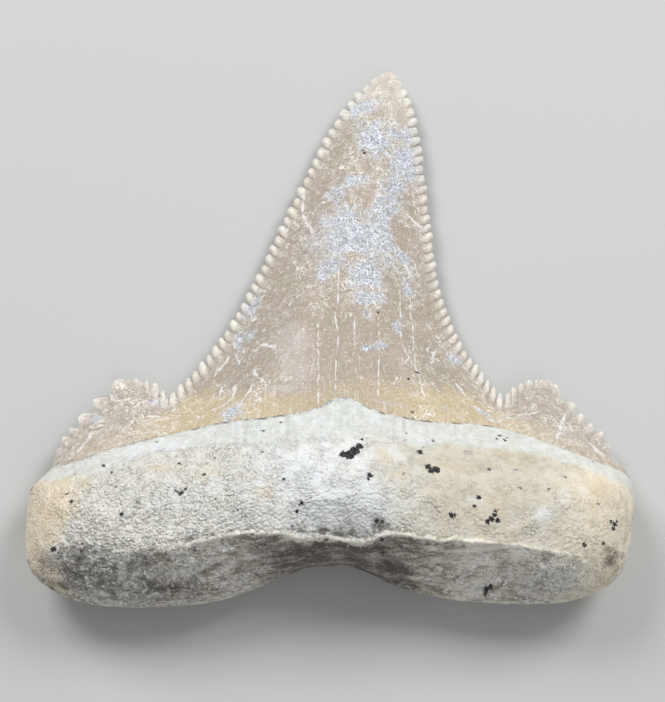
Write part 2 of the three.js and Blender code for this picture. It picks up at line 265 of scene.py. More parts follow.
def outline():
    # Every outline column: base point, real point, rim profile and share of the way along a cutting edge,
    # from the tip down the left side and up the right, and the place on the middle lines where its column
    # ends.
    grid = gridForm
    blade = serrationForm["aboveFork"] * serrationForm["columnsEach"]
    arch = (serrationForm["perEdge"] - serrationForm["aboveFork"]) * serrationForm["columnsEach"]
    root = grid["cuspColumns"] + grid["shoulderColumns"]
    fork = toothForm["fork"]
    middle = [curveThrough([*toothForm["bladeLine"], fork], blade)]
    sides = []
    for number, (side, turn) in enumerate((("left", 1), ("right", -1))):
        lobeLine = toothForm[side + "LobeLine"]
        middle += [curveThrough([fork, *lobeLine[:2]], arch)[1:], curveThrough(lobeLine[1:], root)[1:]]
        base, point, along = cuttingEdge(side, turn, 5 + number)
        cusp = curveThrough(toothForm[side + "Cusp"], grid["cuspColumns"])
        shoulder = curveThrough(toothForm[side + "Shoulder"], grid["shoulderColumns"])
        lobe = curveThrough(toothForm[side + "Lobe"], root)
        archEdge = curveThrough([*toothForm[side + "Arch"], toothForm["archTop"]], arch)
        columns = []
        stretches = (("edge", base, point), ("cusp", cusp, cusp), ("shoulder", shoulder, shoulder),
                     ("lobe", lobe, lobe), ("arch", archEdge, archEdge))
        for name, smooth, real in stretches:
            share = along if name == "edge" else np.linspace(0, 1, len(smooth))
            rim = throughStations(rimForm[name], share)
            crestShare = smoothStep(*rimForm["crestFrom"][side], share) if name == "lobe" else share * 0
            crestShare = crestShare + (name == "arch")
            rim = np.hstack([rim, crestShare[:, None]])
            edgeShare = np.ones(len(smooth))
            if name == "edge":
                edgeShare = smoothStep(*serrationForm["edgeEnd"], share)
            columns.append(np.hstack([smooth, real, rim, edgeShare[:, None]])[bool(columns):])
        start = blade + number * (arch + root)
        down = np.arange(blade + arch + root + 1)
        place = np.where(down <= blade, down, start + down - blade)
        back = start + np.arange(arch + root - 1, -1, -1)
        back[-1] = blade
        sides.append((np.vstack(columns), np.concatenate([place, back])))
    (left, leftPlace), (right, rightPlace) = sides
    columns = np.vstack([left, right[::-1][1:-1]])
    return columns, np.append(leftPlace, rightPlace[::-1][1:-1]), np.vstack(middle)


def smoothLoop(values, spread, times=3):
    # running mean round a closed line, several times over
    for turn in range(times):
        values = sum(np.roll(values, k, axis=0) for k in range(-spread, spread + 1)) / (2 * spread + 1)
    return values


def reachIn(points, loop, values, batch=4000, nearest=1e-4):
    # shortest distance from each point to the closed line, and the values along it blended by inverse
    # distance
    start, end = loop, np.roll(loop, -1, axis=0)
    along = (end - start).astype(np.float32)
    squared = (along**2).sum(1)
    distance = np.empty(len(points))
    blended = np.empty((len(points), values.shape[1]))
    for first in range(0, len(points), batch):
        block = points[first:first + batch]
        gap = (block[:, None, :] - start[None]).astype(np.float32)
        share = np.clip((gap * along).sum(2) / squared, 0, 1)
        away = ((gap - share[:, :, None] * along) ** 2).sum(2)
        distance[first:first + batch] = np.sqrt(away.min(1))
        weight = 1 / (away + nearest) ** 2
        blended[first:first + batch] = weight @ values / weight.sum(1, keepdims=True)
    return distance, blended


def faceHeight(x, y):
    # full height of the upper face: the blade's profile turns into the lobe's away from the middle
    form = faceForm
    side = np.abs(x - toothForm["fork"][0])
    share = smoothStep(form["lobeFrom"], form["lobeFull"], side) * (1 - smoothStep(*form["lobeEnd"], y))
    height = (1 - share) * smoothProfile(form["blade"], y) + share * smoothProfile(form["lobe"], y)
    dent = form["dent"]
    bowl = ((x - dent["at"][0]) / dent["size"][0]) ** 2 + ((y - dent["at"][1]) / dent["size"][1]) ** 2
    fall = form["endFall"] * np.maximum(0, side - form["lobeFull"]) ** 2
    return height - fall - dent["depth"] * np.exp(-bowl)


def underHeight(x, y):
    # the underside: hollow, but worn flat at the three resting places
    form = faceForm
    near = [np.exp(-((x - a) ** 2 + (y - b) ** 2) / form["restReach"] ** 2) for a, b in form["restingPlaces"]]
    return np.maximum(0, form["underHollow"] * (1 - np.max(near, axis=0)) - form["bed"])


def toothGrid():
    # Rings run from the outline in to the middle lines, above and below. A ring point goes from the base
    # point to its middle point, and the teeth of the outline fade out on the way. Heights rise from the rim
    # by a power of a sine, either over a set reach, or, where there is a crest, over the way from the rim to
    # the crest. The marks kept for each point are: on the upper face or not, distance from the real rim and
    # from the base line, how far its column stands out, and its share of the crest.
    columns, place, middle = outline()
    real, rim, blur = columns[:, 2:4], columns[:, 4:9], columns[:, 9:10]
    spread = faceForm["smoothing"]
    base = columns[:, 0:2] * (1 - blur) + smoothLoop(columns[:, 0:2], spread) * blur
    least, more = faceForm["teethFade"]
    fade = least + more * smoothLoop(blur, spread)
    run = np.roll(base, -1, axis=0) - np.roll(base, 1, axis=0)
    outward = np.stack([run[:, 1], -run[:, 0]], axis=1) / np.linalg.norm(run, axis=1)[:, None]
    stand = ((real - base) * outward).sum(1)
    stand = stand - smoothLoop(stand, spread)
    count = len(columns)
    length = np.linalg.norm(middle[place] - base, axis=1)[:, None]
    vertices = [np.hstack([real, rim[:, :1]])]
    marks = [np.stack([np.ones(count), np.zeros(count), np.zeros(count), stand, rim[:, 4]], axis=1)]
    faces, total = [], count
    for upper, rings in ((1, gridForm["faceRings"]), (0, gridForm["underRings"])):
        share = ((np.arange(1, rings) / rings) ** gridForm["ringGrowth"])[:, None, None]
        plan = base + (middle[place] - base) * share
        plan = plan + (real - base) * (1 - share) * np.exp(-(share * length / fade))
        plan = np.vstack([plan.reshape(-1, 2), middle])
        inside, profile = reachIn(plan, base[::3], rim[::3])
        beyond = ((plan[:-len(middle)].reshape(rings - 1, count, 2) - base) * outward).sum(2).ravel() > 0
        beyond = np.append(beyond, np.zeros(len(middle)))
        beyond = beyond * smoothStep(*faceForm["beadsFade"][::-1], plan[:, 1])
        inside = inside * (1 - beyond)
        nearRim, _ = reachIn(plan, real, rim[:, :1])
        rimHeight, reach, leave, underReach, crestShare = profile.T
        arc = np.minimum(1, nearRim / faceForm["beadReach"]) ** faceForm["beadRoundness"]
        bead = faceForm["beadHeight"] * np.sin(np.pi / 2 * arc)
        bead *= smoothStep(*faceForm["beadsFade"], plan[:, 1])
        if upper:
            gap = np.maximum(0, smoothProfile(toothForm["crest"], plan[:, 0]) - plan[:, 1])
            arrival = rimForm["crestArrival"]
            crested = np.sin(arrival * (inside / (inside + gap + 1e-9)) ** leave) / np.sin(arrival)
            rise = np.sin(np.pi / 2 * np.minimum(1, inside / reach) ** leave)
            rise = rise + (crested - rise) * crestShare
            height = rimHeight + bead + (faceHeight(*plan.T) - rimHeight - bead) * rise
        else:
            sink = np.sin(np.pi / 2 * np.minimum(1, inside / underReach) ** leave)
            height = rimHeight - bead + (underHeight(*plan.T) - rimHeight + bead) * sink
        vertices.append(np.hstack([plan, height[:, None]]))
        out = np.concatenate([np.tile(stand, rings - 1), np.zeros(len(middle))])
        marks.append(np.stack([np.full(len(plan), upper), nearRim, inside, out, crestShare], axis=1))
        ring = np.vstack([np.arange(count), total + np.arange((rings - 1) * count).reshape(-1, count),
                          total + (rings - 1) * count + place])
        nextRing = np.roll(ring, -1, axis=1)
        quads = np.stack([ring[:-1], nextRing[:-1], nextRing[1:], ring[1:]], axis=-1).reshape(-1, 4)
        faces.append(quads if upper else quads[:, ::-1])
        total += (rings - 1) * count + len(middle)
    return np.vstack(vertices), np.vstack(faces), np.vstack(marks)


# fine relief, in millimetres
reliefForm = {
    # size, height and how the pattern is squeezed along x, y and z: the root's swelling, the crown's, the
    # root's lumps and grain, the wrinkles along the basal face, and the ribs of the neck
    "lumps": [(3.4, 0.12, 1), (5, 0.05, 1), (1.25, 0.07, 1), (0.5, 0.036, 1), (1, 0.08, (1 / 2.6, 2, 2)),
              (0.75, 0.03, (1, 0.12, 0.12))],
    # shares of the relief that the smooth neck takes away, and how the rest grows with coarseness
    "neckSmooth": 0.85, "neckSwell": 0.5, "roughness": (0.4, 0.9), "cragginess": (0.2, 0.8),
    "neckWidth": (1.9, 2.9),  # of the smooth band below the crown: at the ends, at the middle
    "enamelStep": {"height": 0.07, "over": (-0.05, 0.16)},
    "enamelCrack": (0.05, 0.08),  # depth and width
    "crestRidge": {"height": 0.12, "at": 0.05, "width": 0.16, "breaks": 1.6, "whole": (-0.8, 0.1),
                   "crested": (0.3, 0.9)},
    "standing": 0.6,  # how much each bead rises above the face, for each mm that it stands out
    "fullStand": 0.22,
    "crags": {"size": 0.8, "height": 0.16, "middle": 0.35},
    "pits": [(0.6, 0.05, 8, 0.5), (1.2, 0.12, 9, 0.45)],  # size, depth, seed and chance, small and wide
    # a step in the enamel, left of the middle, that fades out towards both ends
    "fold": {"at": -1.25, "middle": 1, "lean": 0.02, "height": 0.1, "step": (0.3, -0.15), "width": 1.5,
             "ends": [(-6, -4), (6, 3)]},
    "rollRim": (-0.8, 0.8), "grooveFade": 1.5, "grooveUnder": 0.5, "rimHold": (-0.1, 0.5),
    "rolls": [(-0.6, -14.2, 2.6, 0.35, 8, 0.1), (15.6, -15.2, 1.9, 0.4, 28, 0.12),
              (13.6, -16.3, 1.3, 0.3, 20, 0.08)],
    # troughs below the notches: (from, to, width, depth)
    "troughs": [((-12.7, -3.6), (-11.4, -8), 0.9, 0.3), ((13.9, -3.4), (12.9, -7.2), 0.9, 0.3)],
    # grooves between the plates of the side cusps
    "grooves": [((-17, -3.3), (-15.8, -4.2), 0.22, 0.3), ((-18.3, -4.6), (-16.9, -5.9), 0.22, 0.3),
                ((-19.3, -6.1), (-17.7, -7.2), 0.2, 0.26), ((-19.9, -6.9), (-18.8, -7.8), 0.18, 0.22),
                ((-20.5, -7.8), (-19.3, -8.7), 0.18, 0.2), ((-15, -2), (-15, -3.1), 0.14, 0.14),
                ((-14.6, -2.1), (-14.7, -3.2), 0.15, 0.17), ((-14, -2.3), (-14.3, -3.9), 0.17, 0.24),
                ((-13.3, -2.8), (-13.7, -4.2), 0.17, 0.26), ((-12.8, -3.3), (-13.1, -4.4), 0.16, 0.24),
                ((14.8, -2.5), (14.9, -3.8), 0.17, 0.24), ((15.4, -2.3), (15.4, -3.6), 0.17, 0.24),
                ((16, -2), (16.1, -3), 0.15, 0.18), ((16.5, -1.9), (16.4, -2.9), 0.14, 0.16),
                ((18, -3.4), (17.5, -4.9), 0.22, 0.3), ((19.1, -4.7), (17.9, -6.9), 0.22, 0.3),
                ((20, -5.6), (18.8, -7.8), 0.2, 0.28), ((20.6, -6.6), (19.5, -8.4), 0.18, 0.24),
                ((21.2, -7.3), (20.4, -8.9), 0.16, 0.2)],
    "foramen": (3.5, -15.9, 0.4, 0.3),
}

# large marks on the surface, each an ellipse: x, y, half width, half height and, for some, a turn in degrees
markForm = {
    "flowWidth": 26,  # the blade's own width in the pattern that follows its enamel
    "crusts": [(2.7, 22.7, 1.1, 0.9), (3.8, 19.2, 1.1, 1.7), (6, 20, 1.2, 0.9), (6.3, 17.3, 1.1, 2.2),
               (5.3, 14.3, 0.9, 1.9, -25), (4.4, 11.9, 0.9, 1.7, -10), (2, 14.7, 1, 0.5, 15),
               (0.7, 13.6, 0.6, 0.7), (2, 8.9, 2.6, 1.9), (4.1, 9.2, 1.3, 2.2), (0.9, 10.6, 1.5, 1.2),
               (2.9, 5.5, 1.1, 1.6), (3, 3.4, 1, 0.7), (0, 6.3, 0.7, 1.3, -30), (6, 7.8, 0.45, 1.5, 20),
               (6.3, 5.2, 0.35, 0.9, 10), (-6.1, 4.2, 0.5, 1, -20), (-6.5, 1.2, 0.7, 0.35),
               (9.7, -0.5, 0.7, 0.5), (5.2, 0.8, 0.35, 0.5), (2.9, 1.8, 0.25, 0.5, -10),
               (2.9, -1.2, 0.4, 0.3), (4, -1, 0.4, 0.25), (-17.7, -5.6, 0.35, 0.4),
               (-13.5, -4, 0.5, 0.35, -20), (-7.3, -6.6, 0.6, 0.8, -40), (-7, 1, 0.3, 0.9),
               (12, -5.7, 0.9, 0.2, -35)],
    "windows": [(5.9, 10.4, 1.2, 2.1), (6.2, 7, 0.5, 0.8), (3.1, 13.1, 0.7, 1.3, -10), (4.7, 16.8, 0.4, 0.6),
                (6.4, 14, 0.4, 0.5), (1.9, 7.3, 0.8, 0.6), (3.1, 16.3, 0.5, 0.8)],
    "pale": [(-2.9, -1.3, 1.5, 4.2, 8), (-3.2, -4.8, 1.5, 0.4, -5), (4.6, -6.1, 1.7, 0.25, -14),
             (8.6, -6.1, 0.35, 0.35)],
    "tan": [(-18.9, -12.4, 2.2, 2), (-20.6, -15, 1.6, 2.2), (20, -13, 3, 2.8), (13.6, -9.8, 1.6, 0.8, -20),
            (4, -10.6, 1, 1), (9, -11.6, 1.8, 0.8), (17.6, -13, 2, 1), (-8.6, -12, 1, 0.8),
            (-4.8, -13.5, 1.2, 1.5), (5, -12.4, 1.4, 1), (-12.2, -11.5, 1.4, 0.6),
            (11.6, -14.4, 2.4, 1.2, 10)],
    "bluish": [(15.6, -15.1, 2, 0.7, 28), (10.4, -14.2, 0.7, 0.6), (-10.5, -14.2, 3.4, 1.5, 10),
               (17, -13.6, 0.7, 0.5), (-2, -12.6, 2.4, 2.4), (1.5, -14, 2.6, 1.4),
               (16.4, -19.2, 2.2, 0.6, 10), (-9, -18.4, 1.6, 0.3, 10), (-12.4, -9.4, 2.4, 0.6, 15),
               (6.6, -9.2, 1.2, 0.7)],
    # dark patches, partly dirt and partly painted shade: low on the left lobe, along the lower rims and in
    # the dent over the arch
    "soot": [(-16.2, -19, 5, 1.4), (-17.5, -17.8, 2.6, 0.8), (-12, -19.8, 3, 0.5, 3),
             (3.5, -16.1, 0.8, 0.35), (1, -16.3, 2.8, 0.5), (20.6, -17.8, 1, 0.7)],
}


def nearSegment(x, y, start, end):
    # distance to a segment, and the share of the way along it
    run = np.subtract(end, start)
    share = np.clip(((x - start[0]) * run[0] + (y - start[1]) * run[1]) / (run @ run), 0, 1)
    return np.hypot(x - start[0] - share * run[0], y - start[1] - share * run[1]), share


def overEllipses(x, y, ellipses):
    # the highest of some cones: 1 at the middle of an ellipse, 0 on its rim, negative outside, down to -3
    highest = np.full(len(x), float(zoneForm["nowhere"]))
    for middleX, middleY, wide, tall, *turn in ellipses:
        angle = math.radians(sum(turn))
        c, s = math.cos(angle), math.sin(angle)
        a = ((x - middleX) * c + (y - middleY) * s) / wide
        b = ((y - middleY) * c - (x - middleX) * s) / tall
        highest = np.maximum(highest, 1 - np.hypot(a, b))
    return highest


def pitted(points, size, seed, chance):
    # round pits, one in each cell of a lattice whose draw is under the chance: 1 at the middle, 0 at its own
    # radius
    draws = np.random.default_rng(seed).random((5, drawCount))
    cell = np.floor(points / size).astype(np.int64)
    deep = np.zeros(len(points))
    for corner in np.ndindex(3, 3, 3):
        near = cell + np.array(corner) - 1
        slot = latticeDraw(*near.T)
        middle = near + draws[:3, slot].T
        radius = size * (0.25 + 0.3 * draws[3, slot])
        away = np.linalg.norm(points - middle * size, axis=1) / radius
        deep = np.maximum(deep, np.where(draws[4, slot] < chance, np.clip(1 - away**2, 0, 1), 0))
    return deep


zoneForm = {
    # lumps, as (size, height, seed): they tear the crest line, soften large marks, change the neck's width
    "torn": [(0.9, 0.15, 32), (0.35, 0.07, 35)], "soft": [(1.3, 0.3, 33), (0.55, 0.12, 34)],
    "neckWander": [(2.2, 0.6, 31)],
    "outlineEnd": 23, "placesPerMm": 10,
    "plainOver": 30,  # the neck's lower rim follows the crown's base, smoothed over this many places each way
    # for each zone, where it begins and where it is full, in mm
    "belowCrest": (0.12, -0.12), "crestWhole": (0.1, 0.8), "basalUnder": (2.5, 1.2),
    "root": (0.1, -0.2), "neck": (-1.25, -0.65), "neckEnds": (0, 17),
    "rimWidth": 0.3, "rimAbove": (0.1, 0.5),
    "beadReach": [(-4, 8, 27), (0.6, 0.4, 0.22)],  # at these y, how far in the beads' tints fade
    "lowLeft": [(-4, -10), (-15, -17.5)], "lowLeftSlope": 0.1, "lowLeftFrom": -12,
    "bubbles": (15.5, -19.3, 4.5, 1.2, 5), "bubbleRim": (-0.6, 0.5),
    "left": [(-1, -6), (-20.5, -18)], "coarse": (0.12, 0.55),  # everywhere, and more on the left
    "softCrust": 0.8, "softWindow": 0.5, "windowDepth": 2, "nowhere": -3,  # the value far from every mark
}


def lumps(points, rows):
    # noises of several sizes added up
    return sum(height * valueNoise(points, size, seed) for size, height, seed in rows)


def surfaceMarks(points, marks):
    # named marks for each point: signed distances from the crown's base and from the crest, and the zones
    form = zoneForm
    x, y, _ = points.T
    upper, nearRim, inside, stand, crestShare = marks.T
    named = {"across": x, "along": y, "upper": upper, "nearRim": nearRim}
    over, under = (smoothProfile(toothForm[name], x) for name in ("crownBase", "crownBaseUnder"))
    line = np.where(upper > 0, over, under)
    end, over = form["outlineEnd"], form["plainOver"]
    places = np.linspace(-end, end, 2 * end * form["placesPerMm"] + 1)
    border = smoothProfile(toothForm["crownBase"], places)
    steep = np.interp(x, places, np.gradient(border, places))
    window = np.full(2 * over + 1, 1 / (2 * over + 1))
    plain = np.interp(x, places, np.convolve(np.pad(border, over, mode="edge"), window, "valid"))
    named["crown"] = (y - line) / np.hypot(1, steep)
    named["band"] = y - smoothProfile(toothForm["bandTop"], x)
    named["crest"] = y - smoothProfile(toothForm["crest"], x) + lumps(points, form["torn"])
    named["crestShare"] = crestShare
    below = smoothStep(*form["belowCrest"], named["crest"]) * smoothStep(*form["crestWhole"], crestShare)
    named["basal"] = np.where(upper > 0, below, crestShare * smoothStep(*form["basalUnder"], nearRim))
    fading = np.exp(-inside / np.interp(y, *form["beadReach"]))
    stand = np.clip(stand / reliefForm["fullStand"], -1, 1)
    named["stand"] = stand * fading * smoothStep(*faceForm["beadsFade"], y)
    named["edge"] = np.exp(-nearRim / form["rimWidth"]) * smoothStep(*form["rimAbove"], named["crown"])
    narrow, wide = reliefForm["neckWidth"]
    width = wide + (narrow - wide) * smoothStep(*form["neckEnds"], np.abs(x - toothForm["fork"][0]))
    width = width + lumps(points, form["neckWander"])
    root = smoothStep(*form["root"], named["crown"])
    named["neck"] = root * smoothStep(*form["neck"], (y - plain) / width) * upper
    named["root"] = root
    # how rough the root is: most in the low left and at the right end of the basal face
    across, down = form["lowLeft"]
    slope = form["lowLeftSlope"] * (x - form["lowLeftFrom"])
    lowLeft = smoothStep(*across, x) * smoothStep(*down, y - slope)
    bubbles = smoothStep(*form["bubbleRim"], overEllipses(x, y, [form["bubbles"]]))
    begins, ends = form["left"]
    left = smoothStep(*begins, x) * smoothStep(*ends, x)
    least, more = form["coarse"]
    named["coarse"] = root * np.maximum(least + more * left, np.maximum(lowLeft, bubbles))
    soft = lumps(points, form["soft"])
    for name in ("crusts", "pale", "tan", "bluish", "soot"):
        softness = form["softCrust"] if name == "crusts" else 1
        named[name] = overEllipses(x, y, markForm[name]) + soft * softness
    windows = overEllipses(x, y, markForm["windows"]) + soft * form["softWindow"]
    named["crusts"] -= form["windowDepth"] * np.maximum(0, windows)
    for name in ("crusts", "pale"):
        named[name] = np.where(upper > 0, named[name], form["nowhere"])
    # the flow of the enamel: the share of the way across the blade between its two edges
    sides = (np.array(toothForm[name])[::-1] for name in ("leftEdge", "rightEdge"))
    left, right = (np.interp(y, side[:, 1], side[:, 0]) for side in sides)
    named["flow"] = (x - (left + right) / 2) / (right - left) * markForm["flowWidth"]
    return named


def carved(points, normals, named):
    # all the fine relief, added up along the normals; the hollow mark keeps how far a point is cut in
    form = reliefForm
    x, y, z = points.T
    upper, root, neck, basal, coarse = (named[name] for name in ("upper", "root", "neck", "basal", "coarse"))
    least, more = form["roughness"]
    rough = root * (1 - form["neckSmooth"] * neck) * (least + more * coarse)
    lift = 0
    shares = (root * (1 - form["neckSwell"] * neck), 1 - root, rough, rough, rough * basal * upper, neck)
    for place, share in enumerate(shares):
        size, height, squeeze = form["lumps"][place]
        lift += share * valueNoise(points * squeeze, size, place + 1) * height
    crags = form["crags"]
    craggy = crags["middle"] - np.abs(valueNoise(points, crags["size"], 10))
    least, more = form["cragginess"]
    lift += root * (1 - neck) * (least + more * coarse) * craggy * crags["height"]
    lift += form["enamelStep"]["height"] * (smoothStep(*form["enamelStep"]["over"], named["crown"]) - 0.5)
    ridge = form["crestRidge"]
    whole = smoothStep(*ridge["whole"], valueNoise(points, ridge["breaks"], 7))
    whole = whole * smoothStep(*ridge["crested"], named["crestShare"])
    away = (named["crest"] - ridge["at"]) / ridge["width"]
    lift += upper * ridge["height"] * whole * np.exp(-(away**2))
    fold = form["fold"]
    lean = x - fold["at"] + fold["lean"] * (y - fold["middle"])
    step = smoothStep(*fold["step"], lean) * np.exp(np.minimum(0, lean) / fold["width"])
    low, high = fold["ends"]
    lift += upper * fold["height"] * step * smoothStep(*low, y) * smoothStep(*high, y)
    for *roll, height in form["rolls"]:
        lift += upper * height * smoothStep(*form["rollRim"], overEllipses(x, y, [roll]))
    lift += form["standing"] * form["fullStand"] * named["stand"]
    cut = 0
    for share, (size, depth, seed, chance) in zip((rough, rough * smoothStep(0.5, 1, coarse)), form["pits"]):
        cut += share * pitted(points, size, seed, chance) * depth
    depth, width = form["enamelCrack"]
    cut += depth * np.exp(-((named["crown"] / width) ** 2))
    for start, end, width, depth in form["troughs"]:
        away, share = nearSegment(x, y, start, end)
        lift -= upper * depth * (1 - share**2) * np.exp(-((away / width) ** 2))
    for start, end, width, depth in form["grooves"]:
        away, share = nearSegment(x, y, start, end)
        under = form["grooveUnder"] + (1 - form["grooveUnder"]) * upper
        cut += depth * (1 - share ** form["grooveFade"]) * np.exp(-((away / width) ** 2)) * under
    a, b, width, depth = form["foramen"]
    cut += upper * depth * np.exp(-(((x - a) ** 2 + (y - b) ** 2) / width**2))
    shift = (lift - cut) * smoothStep(*form["rimHold"], named["nearRim"])
    named["hollow"] = cut
    moved = points + normals * shift[:, None]
    moved[:, 2] = np.maximum(moved[:, 2], 0)
    return moved


def pointNormals(vertices, faces):
    # mean of the normals of the faces round each point, weighed by their size
    a, b, c, d = (vertices[faces[:, k]] for k in range(4))
    across = np.cross(c - a, d - b)
    total = np.stack([sum(np.bincount(faces[:, k], across[:, axis], len(vertices)) for k in range(4))
                      for axis in range(3)], axis=1)
    return total / np.maximum(np.linalg.norm(total, axis=1), 1e-9)[:, None]


def makeMesh(name, vertices, faces):
    mesh = bpy.data.meshes.new(name)
    mesh.vertices.add(len(vertices))
    mesh.vertices.foreach_set("co", (vertices * millimetre).astype(np.float32).ravel())
    mesh.loops.add(faces.size)
    mesh.loops.foreach_set("vertex_index", faces.astype(np.int32).ravel())
    mesh.polygons.add(len(faces))
    mesh.polygons.foreach_set("loop_start", np.arange(0, faces.size, 4, dtype=np.int32))
    mesh.polygons.foreach_set("loop_total", np.full(len(faces), 4, dtype=np.int32))
    mesh.update(calc_edges=True)
    mesh.validate()
    mesh.shade_smooth()
    piece = bpy.data.objects.new(name, mesh)
    bpy.context.scene.collection.objects.link(piece)
    return piece


def centred(vertices):
    # moved so that its box is centred on the frame's box and it lies on the frame's floor
    low, high = (np.array(corner) / millimetre for corner in cadBox)
    move = (low + high - vertices.min(0) - vertices.max(0)) / 2
    move[2] = low[2] - vertices[:, 2].min()
    return vertices + move, move


# the marks that the material reads
paintMarks = ("across", "along", "upper", "crown", "band", "crest", "crestShare", "basal", "stand", "edge",
              "neck", "coarse", "crusts", "pale", "tan", "bluish", "soot", "hollow")


def makeTooth():
    vertices, faces, marks = toothGrid()
    print("tooth grid:", len(vertices), "points,", 2 * len(faces), "triangles")
    named = surfaceMarks(vertices, marks)
    vertices = carved(vertices, pointNormals(vertices, faces), named)
    vertices, move = centred(vertices)
    print("relief carved, tooth moved by", np.round(move, 3))
    piece = makeMesh("sharkTooth", vertices, faces)
    for name in paintMarks:
        layer = piece.data.attributes.new(name, "FLOAT", "POINT")
        layer.data.foreach_set("value", named[name].astype(np.float32))
    flow = piece.data.uv_layers.new(name="enamelFlow", do_init=False)
    corner = np.empty(len(piece.data.loops), dtype=np.int32)
    piece.data.loops.foreach_get("vertex_index", corner)
    flowAt = np.stack([named["flow"], vertices[:, 1]], axis=1)[corner]
    flow.data.foreach_set("uv", flowAt.astype(np.float32).ravel())
    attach(piece, "root")
    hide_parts("tooth")
    return piece, move


tooth, move = makeTooth()


class Value:
    # One output of a node in the tree in hand. Every sign, and abs, adds a Math node, and the other side may
    # be a plain number.
    tree = None

    def __init__(self, socket):
        self.socket = socket

    def __add__(self, other):
        return node("Math", self, other, operation="ADD")

    def __radd__(self, other):
        return node("Math", other, self, operation="ADD")

    def __sub__(self, other):
        return node("Math", self, other, operation="SUBTRACT")

    def __rsub__(self, other):
        return node("Math", other, self, operation="SUBTRACT")

    def __mul__(self, other):
        return node("Math", self, other, operation="MULTIPLY")

    def __truediv__(self, other):
        return node("Math", self, other, operation="DIVIDE")

    def __abs__(self):
        return node("Math", self, operation="ABSOLUTE")

    def output(self, number):  # another output of the same node
        return Value(self.socket.node.outputs[number])


def node(kind, *feeds, out=0, **settings):
    # Adds a node to the tree in hand. Feeds are values to link or plain settings, in the order of the node's
    # inputs, and None leaves an input as it is.
    item = Value.tree.nodes.new("ShaderNode" + kind)
    for key, setting in settings.items():
        setattr(item, key, setting)
    for place, feed in enumerate(feeds):
        if isinstance(feed, Value):
            Value.tree.links.new(feed.socket, item.inputs[place])
        elif feed is not None:
            item.inputs[place].default_value = feed
    return Value(item.outputs[out])


noiseMean = 0.5
curlFade = 0.35  # share of a curl's width that is full
shakeRoughness = 0.6


def most(a, b):
    return node("Math", a, b, operation="MAXIMUM")


def least(a, b):
    return node("Math", a, b, operation="MINIMUM")


def ramp(value, low, high):  # smooth from 0 at low to 1 at high
    return node("MapRange", value, low, high, 0.0, 1.0, interpolation_type="SMOOTHSTEP", clamp=False)


def stretch(where, factors):
    return node("Mapping", where, None, None, factors)


def noise(where, size, detail=2, rough=0.5, twist=0):
    return node("TexNoise", where, None, 1 / size, detail, rough, None, None, None, twist)


def wobble(where, *grain):  # noise about zero
    return noise(where, *grain) - noiseMean


def patches(where, grain, fade):  # noise that fades in between two values
    return ramp(noise(where, *grain), *fade)


def mark(name):
    return node("Attribute", attribute_name=name, out=2)


def shaken(where, size, amount, detail=2):
    # the plan position moved about by noise, by up to half the amount each way
    colour = node("TexNoise", where, None, 1 / size, detail, shakeRoughness, out=1)
    parts = node("SeparateColor", colour)
    moved = [node("Math", parts.output(number) - noiseMean, amount, mark(name), operation="MULTIPLY_ADD")
             for number, name in enumerate(("across", "along"))]
    return node("CombineXYZ", *moved)


def cells(where, size):
    # distance to the nearest middle of a cell, and a draw of that cell's own, from 0 to 1
    away = node("TexVoronoi", where, None, 1 / size)
    return away, node("SeparateColor", away.output(1))


def curls(where, size, wide, twist=0.6):
    # thin winding lines, where a noise crosses its mean
    return ramp(abs(wobble(where, size, 1, 0.5, twist)), wide, wide * curlFade)


def tone(red, green, blue):
    # a colour given as it is seen on a screen, from 0 to 255, turned into light
    seen = np.array([red, green, blue]) / 255
    return (*(np.where(seen > 0.04045, ((seen + 0.055) / 1.055) ** 2.4, seen / 12.92)).tolist(), 1.0)


def blend(share, a, b):
    a, b = (tone(*c) if isinstance(c, tuple) else c for c in (a, b))
    return node("Mix", share, None, None, None, None, None, a, b, out=2, data_type="RGBA", blend_type="MIX")


def coat(colour, share, paint):
    # a paint over a colour; its fourth number, if it has one, is how much of it shows
    if len(paint) > 3:
        share = share * paint[3]
    return blend(share, colour, paint[:3])


def lineDistance():
    # a node group: distance from a place to the segment between two points
    group = bpy.data.node_groups.new("lineDistance", "ShaderNodeTree")
    for name in ("Place", "Start", "End"):
        group.interface.new_socket(name, in_out="INPUT", socket_type="NodeSocketVector")
    group.interface.new_socket("Distance", in_out="OUTPUT", socket_type="NodeSocketFloat")
    Value.tree = group
    place, start, end = map(Value, group.nodes.new("NodeGroupInput").outputs[:3])
    gap = node("VectorMath", place, start, operation="SUBTRACT")
    run = node("VectorMath", end, start, operation="SUBTRACT")
    along = node("VectorMath", gap, run, operation="DOT_PRODUCT", out=1)
    whole = node("VectorMath", run, run, operation="DOT_PRODUCT", out=1)
    share = least(most(along / whole, 0.0), 1.0)
    foot = node("VectorMath", run, None, None, share, operation="SCALE")
    distance = node("VectorMath", gap, foot, operation="DISTANCE", out=1)
    group.links.new(distance.socket, group.nodes.new("NodeGroupOutput").inputs[0])
    return group


lineGroup = lineDistance()


def nearLines(where, lines):
    # distance to the nearest of some lines, each a list of (x, y) points
    pairs = (pair for line in lines for pair in zip(line, line[1:]))
    away = (node("Group", where, (*start, 0), (*end, 0), node_tree=lineGroup) for start, end in pairs)
    return reduce(least, away)


def nearSpots(where, spots):
    # distance to the rim of the nearest of some round spots, each (x, y, radius)
    away = (node("VectorMath", where, (x, y, 0), operation="DISTANCE", out=1) - radius
            for x, y, radius in spots)
    return reduce(least, away)


